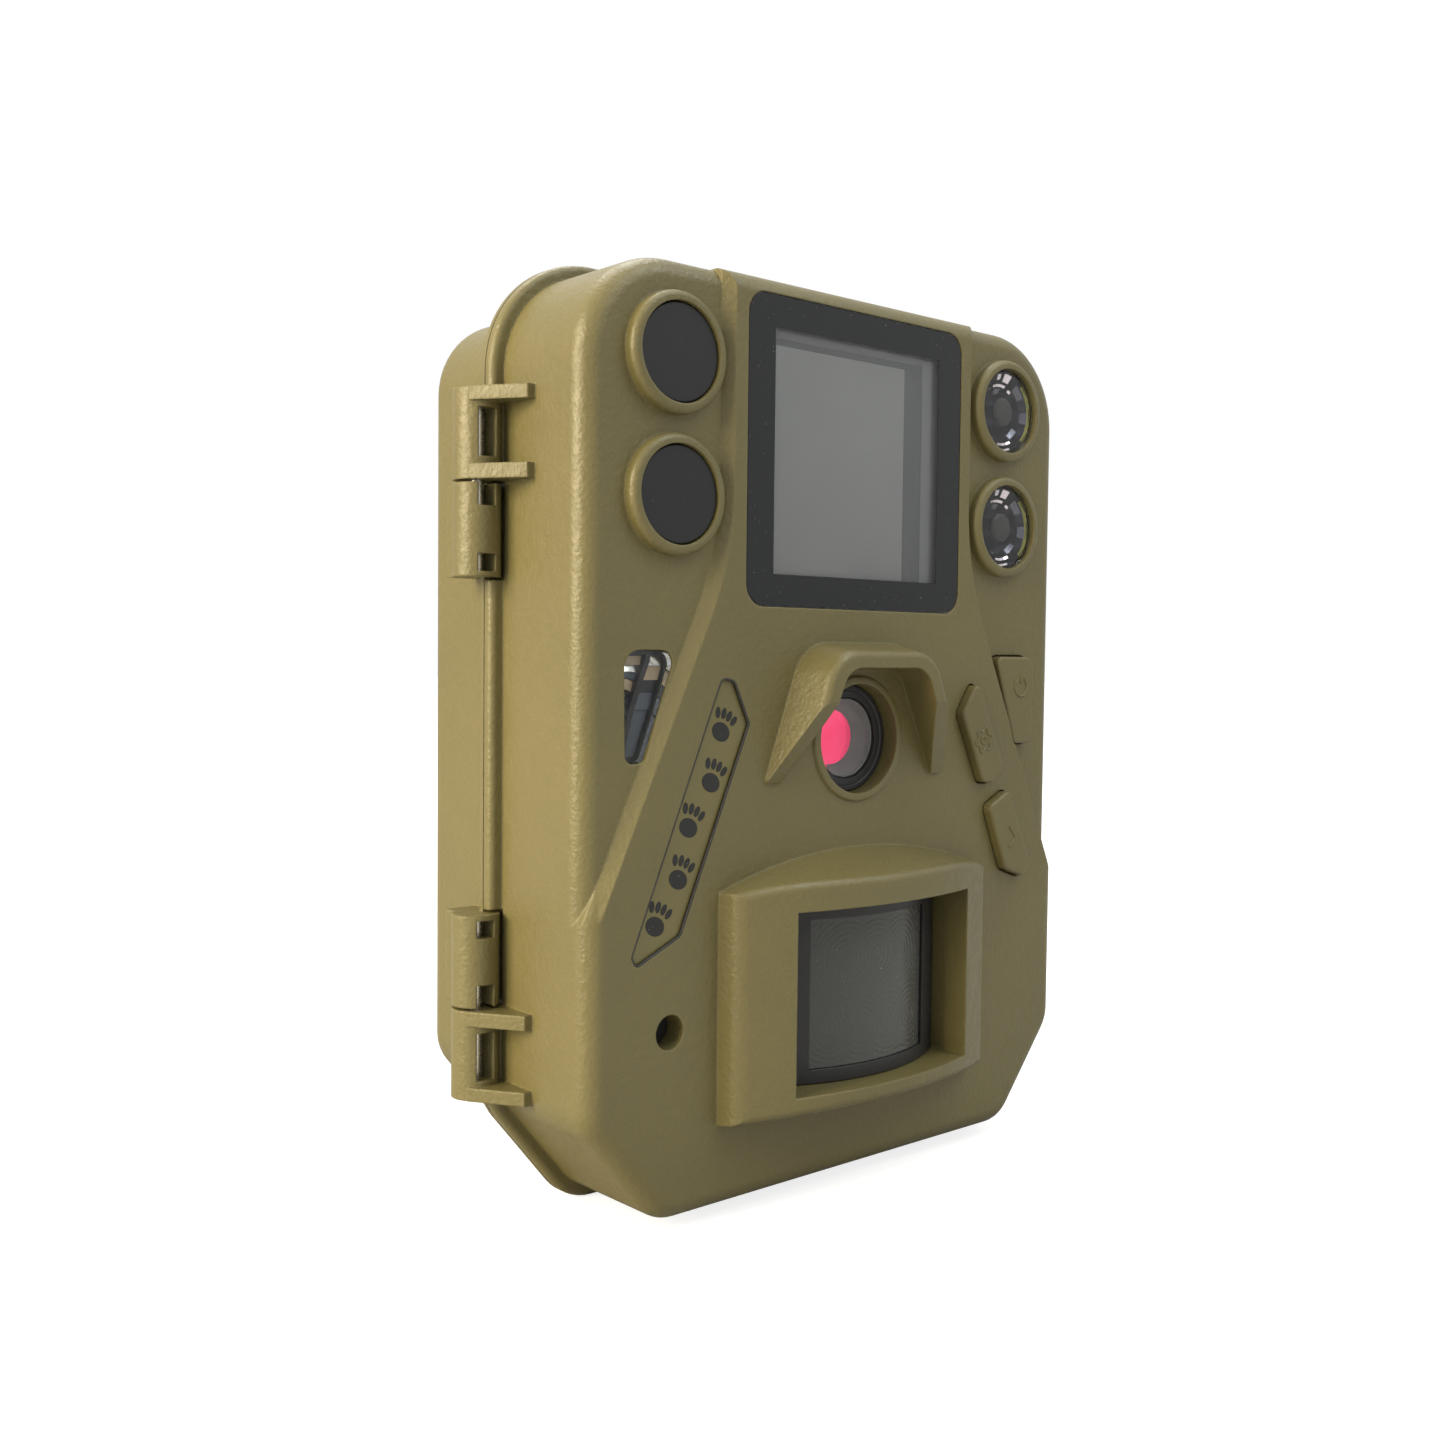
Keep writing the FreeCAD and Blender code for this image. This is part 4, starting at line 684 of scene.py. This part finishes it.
def build_emitters():
    """A ceramic base with a dome at the bottom of each cup."""
    _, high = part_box("flash_leds")
    half, stand, dome_radius = 1.25 * MM, 0.6 * MM, 0.95 * MM
    dome = [(dome_radius, 0.0)] + arc_profile(dome_radius, 0.55 * MM, 0.02 * MM, 8)
    bases, domes = bmesh.new(), bmesh.new()
    for level in LEVELS:
        centre, _, back, _ = reflector_cup(level)
        front = back - stand
        square = rectangle(centre.x - half, centre.x + half, centre.z - half, centre.z + half)
        add_plate(bases, square, front, high.y, 0.08 * MM)
        add_lathe(domes, dome, (centre.x, front, centre.z), segments=32)
    ceramic = smooth_dark("emitter_ceramic", (0.060, 0.062, 0.052), 0.5)
    mesh = finished(bases, "lamp_emitter_bases")
    piece("lamp_emitter_bases", mesh, HOUSING, "emitter", ceramic, ["flash_leds"])
    piece("lamp_emitter_domes", finished(domes, "lamp_emitter_domes"), HOUSING, "emitter")


# ---- taking lens


def build_lens():
    """A thin coated front glass, a satin light cone behind it, and the pink filter at its end, brightened by
    a painted glow.
    """
    barrel_low, barrel_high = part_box("lens_barrel")
    low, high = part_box("lens_element")
    centre = (low + high) / 2
    radius = (high.x - low.x) / 2
    segments = 96
    seat = Vector((centre.x, barrel_low.y + 0.45 * MM, centre.z))
    glass = [(0.0, 0.0), (radius, 0.0), (radius, 0.12 * MM)]
    glass += arc_profile(radius - 0.02 * MM, 0.22 * MM, 0.14 * MM, 12)
    mesh = lathe("lens_front_glass", glass, seat, segments)
    piece("lens_front_glass", mesh, HOUSING, "lens_glass", replaces=["lens_element"])

    sensor_low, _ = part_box("image_sensor")
    end = sensor_low.y - 0.12 * MM
    depth = end - seat.y - 0.05 * MM
    narrow = 2.95 * MM
    start = Vector((centre.x, end, centre.z))
    cone = [(narrow, 0.0), (narrow + 0.15 * MM, 0.12 * MM), (radius - 0.15 * MM, depth)]
    cone += [(radius, depth), (radius, 0.0), (narrow, 0.0)]
    grey = smooth_dark("light_cone_grey", (0.215, 0.275, 0.262), 0.55)
    mesh = lathe("lens_light_cone", cone, start, segments)
    piece("lens_light_cone", mesh, HOUSING, "lens_black", grey, ["lens_retainer"])

    barrel_radius = (barrel_high.x - barrel_low.x) / 2
    inside, outside, shoulder, top = barrel_radius - 0.3 * MM, barrel_radius + 0.42 * MM, 0.55 * MM, 0.70 * MM
    ring = [(inside, 0.0), (outside, 0.0), (outside, shoulder), (barrel_radius + 0.30 * MM, top)]
    ring += [(barrel_radius - 0.15 * MM, top), (inside, shoulder), (inside, 0.0)]
    seat = Vector((centre.x, barrel_low.y + 0.60 * MM, centre.z))
    piece("lens_bore_ring", lathe("lens_bore_ring", ring, seat, segments), HOUSING, "lens_black")

    shader = Shader("infrared_filter_pink_painted_glow", (1.0, 0.075, 0.19), 0.18, metallic=1.0)
    shader.paint(shader.varied(0.03, 300.0))
    shader.bump(shader.noise(500.0, 1.0), 0.02, 0.01 * MM)
    # Painted glow: the filter is no lamp, and this weak emission only makes its pink brighter.
    shader.put("Emission Color", (1.0, 0.045, 0.17, 1.0))
    shader.put("Emission Strength", 0.55)
    edge, behind, ahead = narrow + 0.3 * MM, -0.08 * MM, 0.03 * MM
    disc = [(0.0, behind), (edge, behind), (edge, ahead), (0.0, ahead)]
    mesh = lathe("lens_filter_disc", disc, start, segments)
    piece("lens_filter_disc", mesh, HOUSING, "lens_glass", shader.material)


# ---- motion sensor


def build_fresnel_sheet():
    """A curved smoked sheet whose lenslets' rings stand in slight relief."""
    low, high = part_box("pir_fresnel_lens")
    bend = 23.65 * MM
    thickness = 0.7 * MM
    centre_x = (low.x + high.x) / 2
    axis_y = low.y + bend
    half_turn = math.asin((high.x - low.x) / 2 / bend)
    columns, rows = 170, 150
    lenslets = [(x * MM, -3.9 * MM) for x in (-6.4, -2.1, 2.1, 6.4)]
    lenslets += [(x * MM, 3.6 * MM) for x in (-4.3, 0.0, 4.3)]
    ring_pitch, ring_height, fade = 0.60 * MM, 0.055 * MM, 4
    middle_z = (low.z + high.z) / 2
    bm = bmesh.new()
    grids = []
    for inner in (False, True):
        grid = []
        for row in range(rows + 1):
            z = low.z + (high.z - low.z) * row / rows
            line = []
            for column in range(columns + 1):
                turn = half_turn * (2 * column / columns - 1)
                radius = bend - (thickness if inner else 0.0)
                if not inner:
                    across, up = turn * bend, z - middle_z
                    nearest = min(math.hypot(across - x, up - lenslet_z) for x, lenslet_z in lenslets)
                    edge = min(row, rows - row, column, columns - column)
                    ring = nearest / ring_pitch % 1.0
                    radius -= ring_height * ring * min(1.0, edge / fade)
                x, y = centre_x + radius * math.sin(turn), axis_y - radius * math.cos(turn)
                line.append(bm.verts.new((x, y, z)))
            grid.append(line)
        grids.append(grid)
    for grid in grids:
        for lower, upper in zip(grid, grid[1:]):
            add_band(bm, lower, upper, closed=False)
    outer, inner = grids
    for row in (0, rows):
        add_band(bm, outer[row], inner[row], closed=False)
    for column in (0, columns):
        add_band(bm, [line[column] for line in outer], [line[column] for line in inner], closed=False)
    mesh = finished(bm, "motion_lens_sheet")
    piece("motion_lens_sheet", mesh, HOUSING, "fresnel_sheet", replaces=["pir_fresnel_lens"], angle=50.0)


# ---- light sensor window


def build_light_sensor():
    """A clear tapered window, and behind it a dish with folded facets and one dark rib across it. The warm
    and bluish facets paint highlights and reflections, and the bright ones are metal.
    """
    low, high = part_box("light_sensor_window")
    outline = front_outline("light_sensor_window")
    window = plate("sensor_window", outline, low.y, high.y, 0.12 * MM)
    piece("sensor_window", window, HOUSING, "clear_lens", replaces=["light_sensor_window"])

    back = high.y + 0.9 * MM
    dark = smooth_dark("sensor_dish_dark", (0.030, 0.032, 0.036), 0.35)
    dish = plate("sensor_dish", grown(outline, 0.05 * MM), back, back + 0.5 * MM, 0.05 * MM)
    piece("sensor_dish", dish, HOUSING, "reflector", dark, ["light_sensor_reflector"])

    top, bottom = high.z, low.z
    height = top - bottom

    def edges_at(share):
        """Left and right edge of the window at a share of its height."""
        z = bottom + height * share
        crossings = []
        for index, (x, level) in enumerate(outline):
            next_x, next_level = outline[(index + 1) % len(outline)]
            if (level - z) * (next_level - z) < 0:
                crossings.append(x + (next_x - x) * (z - level) / (next_level - level))
        return min(crossings), max(crossings)

    def rib_at(share):
        left, right = edges_at(share)
        return left + (right - left) * (0.06 + 0.56 * share ** 0.8)

    # Painted reflections: the warm and bluish colours stand in for the highlights and reflections seen in the
    # real reflector.
    bright = metal("sensor_facet_bright", (0.62, 0.62, 0.60), 0.16, (900.0, 900.0, 900.0), 0.05)
    warm = smooth_dark("sensor_painted_warm_reflection", (0.55, 0.44, 0.27), 0.28)
    bluish = smooth_dark("sensor_painted_grey_reflection", (0.10, 0.12, 0.15), 0.22)
    rib_half, inset, lift, facet_thickness = 0.32 * MM, 0.12 * MM, 0.08 * MM, 0.1 * MM

    def terrace(name, share_low, share_high, side, material, tilt, bulge=0.0):
        """One facet between the rib and an edge. It leans, and its outline bows by bulge."""
        corners = []
        for share, depth in ((share_low, back - lift - tilt), (share_high, back - lift)):
            left, right = edges_at(share)
            rib = rib_at(share)
            span = (left + inset, rib - rib_half) if side < 0 else (rib + rib_half, right - inset)
            z = bottom + height * share
            steps = 6
            row = []
            for i in range(steps + 1):
                across = i / steps
                bow = bulge * math.sin(math.pi * across)
                row.append((span[0] + (span[1] - span[0]) * across, depth, z + bow))
            corners.append(row)
        bm = bmesh.new()
        layers = []
        for offset in (0.0, facet_thickness):
            layers.append([[bm.verts.new((x, y + offset, z)) for x, y, z in row] for row in corners])
        add_slab(bm, *layers)
        piece(name, finished(bm, name), HOUSING, "reflector", material)

    # Each facet: its lower and upper share of the window's height, material, tilt and bulge.
    left_facets = [
        (0.18, 0.42, bluish, 0.10, 0.0),
        (0.43, 0.50, bright, 0.30, 0.0),
        (0.51, 0.57, bluish, 0.05, 0.15),
        (0.575, 0.62, bright, 0.40, 0.22),
        (0.63, 0.72, warm, 0.20, 0.30),
        (0.73, 0.79, bluish, 0.10, 0.30),
        (0.80, 0.86, bright, 0.30, 0.15),
        (0.87, 0.95, warm, 0.15, 0.0),
    ]
    right_facets = [
        (0.05, 0.46, bluish, 0.06, 0.0),
        (0.47, 0.62, bluish, 0.25, 0.0),
        (0.63, 0.73, dark, 0.05, 0.0),
        (0.735, 0.86, warm, 0.12, 0.0),
        (0.865, 0.95, bright, 0.25, 0.0),
    ]
    for side, tag, facets in ((-1, "left", left_facets), (1, "right", right_facets)):
        for index, (start, end, material, tilt, bulge) in enumerate(facets):
            terrace(f"sensor_facet_{tag}_{index}", start, end, side, material, tilt * MM, bulge * MM)

    steps = 14
    bm = bmesh.new()
    layers = []
    for depth in (high.y + 0.05 * MM, back):
        layer = []
        for i in range(steps + 1):
            share = 0.04 + 0.92 * i / steps
            x, z = rib_at(share), bottom + height * share
            layer.append([bm.verts.new((x + side * rib_half, depth, z)) for side in (-1, 1)])
        layers.append(layer)
    add_slab(bm, *([[pair[side] for pair in layer] for side in (0, 1)] for layer in layers))
    piece("sensor_rib", finished(bm, "sensor_rib"), HOUSING, "lens_black")


# ---- buttons and badge


def build_button_marks():
    """Raised marks on the caps: on/off, settings and next."""
    width = 0.34 * MM

    def mark(key, x, z, draw, width):
        """Draws one mark about a spot that is x, z from the low corner of the cap's box."""
        low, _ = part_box(f"{key}_button")
        spot = Vector((low.x + x * MM, 0, low.z + z * MM))
        mesh = stroke(f"{key}_mark", draw(spot, low.y + 0.02 * MM), width)
        piece(f"{key}_mark", mesh, f"{key}_button", "olive_button")

    def power(spot, depth):
        ring = circle_points(spot, 1.15 * MM, 125, 415, 28, depth)
        bar = [(spot.x, depth, spot.z + rise * MM) for rise in (0.45, 1.5)]
        return [(ring, False), (bar, False)]

    def settings(spot, depth):
        teeth, tip, root = 6, 1.5, 1.1
        gear = []
        for i in range(teeth * 4):
            radius = (tip if i % 4 < 2 else root) * MM
            angle = 2 * math.pi * (i + 0.5) / (teeth * 4)
            gear.append((spot.x + radius * math.cos(angle), depth, spot.z + radius * math.sin(angle)))
        return [(gear, True), (circle_points(spot, 0.45 * MM, 0, 345, 23, depth), True)]

    def chevron(spot, depth):
        corners = ((-0.6, 1.2), (0.6, 0.0), (-0.6, -1.2))
        return [([(spot.x + x * MM, depth, spot.z + z * MM) for x, z in corners], False)]

    mark("power", 5.1, 7.7, power, width)
    mark("menu", 4.4, 5.9, settings, width * 0.85)
    mark("next", 4.9, 5.7, chevron, width)


def build_badge_prints():
    """A row of plain paw prints along the slanted plate."""
    low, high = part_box("badge_plate")
    # Painted shade: a dark line laid in the gap round the plate stands in for the shade in that gap.
    border = grown(front_outline("badge_plate"), 0.06 * MM)
    line = [(x, low.y - 0.24 * MM, z) for x, z in border]
    gap_shade = stroke("badge_painted_shade_line", [(line, True)], 0.30 * MM)
    piece("badge_painted_shade_line", gap_shade, HOUSING, "inner_plastic")
    ink = smooth_dark("badge_ink", (0.014, 0.014, 0.013), 0.45)
    lower = Vector((low.x + 3.6 * MM, low.z + 4.0 * MM))
    upper = Vector((high.x - 3.0 * MM, high.z - 5.0 * MM))
    along = (upper - lower).normalized()
    across = Vector((along.y, -along.x))
    depth = low.y - 0.02 * MM
    bm = bmesh.new()

    def pad(spot, length, width, lean=0.0):
        direction = Matrix.Rotation(lean, 2) @ along
        side = Vector((direction.y, -direction.x))
        steps = 18
        outline = []
        for i in range(steps):
            angle = 2 * math.pi * i / steps
            point = spot + direction * (length * math.cos(angle)) + side * (width * math.sin(angle))
            outline.append((point.x, point.y))
        add_plate(bm, outline, depth, low.y + 0.02 * MM)

    count = 5
    for index in range(count):
        swing = 0.55 * MM if index % 2 else -0.35 * MM
        spot = lower + (upper - lower) * (index / (count - 1)) + across * swing
        pad(spot - along * 0.60 * MM, 0.98 * MM, 1.24 * MM)
        for step, lean in ((-1.5, 0.35), (-0.5, 0.12), (0.5, -0.12), (1.5, -0.35)):
            reach = (1.40 - 0.21 * abs(step)) * MM
            pad(spot + along * reach + across * (step * 0.78 * MM), 0.60 * MM, 0.34 * MM, lean)
    piece("badge_prints", finished(bm, "badge_prints"), HOUSING, "olive_trim", ink)


# ---- parts seen with the case open, and below


def build_springs():
    """Coned springs, wound, one behind each cell's flat end."""
    bm = bmesh.new()
    wire, reach = 0.32 * MM, 4.7 * MM
    wide, narrowing = 4.2, 1.9
    turns, steps = 4.5, 24
    around = 8
    for index in range(1, 5):
        low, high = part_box(f"battery_cell_{index}")
        centre = (low + high) / 2
        upwards = index % 2 == 1
        end = low.z if upwards else high.z
        sign = 1 if upwards else -1
        rings = []
        total = int(turns * steps)
        for i in range(total + 1):
            share = i / total
            angle = 2 * math.pi * turns * share
            radius = (wide - narrowing * share) * MM
            height = end - sign * (reach * (1 - share) + wire * 0.5)
            spot = Vector((centre.x + radius * math.cos(angle), centre.y + radius * math.sin(angle), height))
            outward = Vector((math.cos(angle), math.sin(angle), 0))
            ring = []
            for k in range(around):
                turn = 2 * math.pi * k / around
                offset = outward * math.cos(turn) + Vector((0, 0, 1)) * math.sin(turn)
                ring.append(bm.verts.new(spot + offset * wire))
            rings.append(ring)
        for first, second in zip(rings, rings[1:]):
            add_band(bm, first, second)
        bm.faces.new(rings[0])
        bm.faces.new(rings[-1])
    mesh = finished(bm, "wound_springs")
    piece("wound_springs", mesh, "rear_case", "contact_metal", replaces=["battery_springs"], angle=60.0)


def build_insert():
    """The brass insert with its thread: 20 turns to the inch."""
    low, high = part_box("tripod_insert")
    outer = (high.x - low.x) / 2
    pitch = 1.27 * MM
    crest, root = 2.58 * MM, 3.17 * MM
    depth, fade_length, countersink, chamfer = 7.0 * MM, 0.6 * MM, 0.35 * MM, 0.2 * MM
    around, rows = 96, 88
    bm = bmesh.new()
    grid = []
    for row in range(rows + 1):
        z = low.z + depth * row / rows
        fade = min(1.0, (z - low.z) / fade_length, (low.z + depth - z) / fade_length)
        line = []
        for step in range(around):
            angle = 2 * math.pi * step / around
            phase = (z / pitch - step / around) % 1.0
            wave = 1 - abs(2 * phase - 1)
            radius = crest + (root - crest) * wave * fade + (countersink if row == 0 else 0.0)
            line.append(bm.verts.new((radius * math.cos(angle), radius * math.sin(angle), z)))
        grid.append(line)
    for lower, upper in zip(grid, grid[1:]):
        add_band(bm, lower, upper)
    bm.faces.new(grid[-1])
    rings = []
    turns = [2 * math.pi * step / around for step in range(around)]
    for radius, z in ((outer - chamfer, low.z), (outer, low.z + chamfer), (outer, high.z)):
        rings.append([bm.verts.new((radius * math.cos(t), radius * math.sin(t), z)) for t in turns])
    for first, second in zip([grid[0]] + rings, rings):
        add_band(bm, first, second)
    bm.faces.new(rings[-1])
    mesh = finished(bm, "threaded_insert")
    piece("threaded_insert", mesh, "rear_case", "brass", replaces=["tripod_insert"], angle=40.0)


def build_screws():
    """Pan-head screws with a cross recess, in the inner cover's four holes."""
    low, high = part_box("inner_cover_screws")
    head_radius, shank_radius, head_height, recess = 1.9 * MM, 0.75 * MM, 1.1 * MM, 0.45 * MM
    seat = high.y - head_height
    arm, half = 1.05 * MM, 0.24 * MM
    cross = [(half, half), (arm, half), (arm, -half), (half, -half), (half, -arm), (-half, -arm)]
    cross += [(-half, -half), (-arm, -half), (-arm, half), (-half, half), (-half, arm), (half, arm)]
    angles = [math.atan2(b, a) for a, b in cross]
    head = [(head_radius * 0.72, high.y), (head_radius * 0.93, high.y - 0.22 * MM)]
    head += [(head_radius, seat + 0.4 * MM), (head_radius, seat)]
    length = seat - low.y
    shank = [(0.0, 0.0), (shank_radius, 0.0), (shank_radius, -length), (0.0, -length)]
    bm = bmesh.new()
    for x in (low.x + head_radius, high.x - head_radius):
        for z in (low.z + head_radius, high.z - head_radius):
            rings = [[bm.verts.new((x + a, y, z + b)) for a, b in cross] for y in (high.y - recess, high.y)]
            for radius, y in head:
                circle = [(x + radius * math.cos(t), y, z + radius * math.sin(t)) for t in angles]
                rings.append([bm.verts.new(point) for point in circle])
            for first, second in zip(rings, rings[1:]):
                add_band(bm, first, second)
            bm.faces.new(rings[0])
            bm.faces.new(rings[-1])
            add_lathe(bm, shank, Vector((x, low.y, z)), 24)
    mesh = finished(bm, "cover_screws")
    piece("cover_screws", mesh, HOUSING, "steel", replaces=["inner_cover_screws"], angle=35.0)


def build_latch_grip():
    """Finger ribs on the latch lever."""
    low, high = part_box("latch_lever")
    count, first_rib, pitch = 4, 4.4, 1.5
    sunk, half, reach, margin = 0.55 * MM, 0.35 * MM, 0.42 * MM, 1.0 * MM
    x = high.x - sunk
    bm = bmesh.new()
    for index in range(count):
        y = low.y + (first_rib + pitch * index) * MM
        turns = [math.pi * i / 8 for i in range(9)]
        profile = [(x + reach * math.sin(turn), y - half * math.cos(turn)) for turn in turns]
        bottom = [bm.verts.new((px, py, low.z + margin)) for px, py in profile]
        top = [bm.verts.new((px, py, high.z - margin)) for px, py in profile]
        bm.faces.new(bottom)
        bm.faces.new(top[::-1])
        add_band(bm, bottom, top)
    piece("latch_grip_ribs", finished(bm, "latch_grip_ribs"), "latch", "latch_plastic")


# ---- studio


def build_studio():
    """A pale floor and a soft surround, both read as white by the camera, and three broad lamps."""
    scene = bpy.context.scene
    scene.view_settings.view_transform = "Standard"

    mesh = bpy.data.meshes.new("floor")
    half = 3.0
    corners = [(x, z, 0) for x, z in rectangle(-half, half, -half, half)]
    mesh.from_pydata(corners, [], [(0, 1, 2, 3)])
    floor = bpy.data.objects.new("floor", mesh)
    scene.collection.objects.link(floor)
    shader = Shader("floor_pale", (0.40, 0.40, 0.40), 0.8, Specular_IOR_Level=0.1)
    shader.paint(shader.varied(0.01, 3.0))
    seen = shader.node("ShaderNodeLightPath").outputs["Is Camera Ray"]
    shader.paint(shader.maths("MULTIPLY", seen, 0.80), "Emission Strength")
    shader.put("Emission Color", (1.0, 1.0, 1.0, 1.0))
    mesh.materials.append(shader.material)

    world = bpy.data.worlds.new("studio")
    scene.world = world
    world.use_nodes = True
    tree = world.node_tree
    background = tree.nodes["Background"]
    place = tree.nodes.new("ShaderNodeTexCoord")
    split = tree.nodes.new("ShaderNodeSeparateXYZ")
    tree.links.new(place.outputs["Generated"], split.inputs["Vector"])
    rise = tree.nodes.new("ShaderNodeMapRange")
    for socket, value in (("From Min", -0.2), ("From Max", 0.9), ("To Min", 0.50), ("To Max", 0.95)):
        rise.inputs[socket].default_value = value
    tree.links.new(split.outputs["Z"], rise.inputs["Value"])
    rays = tree.nodes.new("ShaderNodeLightPath")
    choose = tree.nodes.new("ShaderNodeMix")
    tree.links.new(rays.outputs["Is Camera Ray"], choose.inputs["Factor"])
    tree.links.new(rise.outputs["Result"], choose.inputs["A"])
    choose.inputs["B"].default_value = 1.0
    tree.links.new(choose.outputs["Result"], background.inputs["Strength"])
    background.inputs["Color"].default_value = (1.0, 1.0, 1.0, 1.0)

    for name, place, target, size, watts, color in (
        ("key_left", (-0.75, 0.06, 0.30), (0, 0, 0.05), 0.50, 11.0, (1.0, 0.86, 0.58)),
        ("fill_front", (0.30, -0.50, 0.80), (0, 0, 0.05), 0.5, 2.6, (0.93, 1.0, 0.95)),
        ("rim_top", (0.1, 0.25, 0.8), (0, 0, 0.08), 0.5, 3.6, (1.0, 1.0, 1.0)),
    ):
        light = bpy.data.lights.new(name, "AREA")
        light.size = size
        light.energy = watts
        light.color = color
        holder = bpy.data.objects.new(name, light)
        scene.collection.objects.link(holder)
        holder.location = place
        holder.rotation_euler = (Vector(target) - Vector(place)).to_track_quat("-Z", "Y").to_euler()


def build_camera():
    """The viewpoint: left of the front, a little above the middle, nearly level."""
    position = Vector((-122.12, -140.04, 59.08)) * MM
    yaw, pitch, roll = (math.radians(angle) for angle in (41.14, 2.53, 0.60))
    forward = Vector((math.sin(yaw), math.cos(yaw), 0))
    right = Vector((math.cos(yaw), -math.sin(yaw), 0))
    up = Vector((0, 0, 1))
    looking = forward * math.cos(pitch) - up * math.sin(pitch)
    upright = up * math.cos(pitch) + forward * math.sin(pitch)
    across = right * math.cos(roll) + upright * math.sin(roll)
    above = upright * math.cos(roll) - right * math.sin(roll)
    data = bpy.data.cameras.new("view")
    data.sensor_width = 36.0
    data.lens = 37.78
    data.clip_start = 0.005
    data.clip_end = 50.0
    camera = bpy.data.objects.new("view", data)
    bpy.context.scene.collection.objects.link(camera)
    rows = [[a, b, -c, p] for a, b, c, p in zip(across, above, looking, position)]
    camera.matrix_world = Matrix(rows + [[0, 0, 0, 1]])
    bpy.context.scene.camera = camera


dress_cad_nodes()
build_display()
build_lamps()
build_lamp_cores()
build_lamp_painted_reflections()
build_emitters()
build_lens()
build_fresnel_sheet()
build_light_sensor()
build_button_marks()
build_badge_prints()
build_springs()
build_insert()
build_screws()
build_latch_grip()
build_studio()
build_camera()
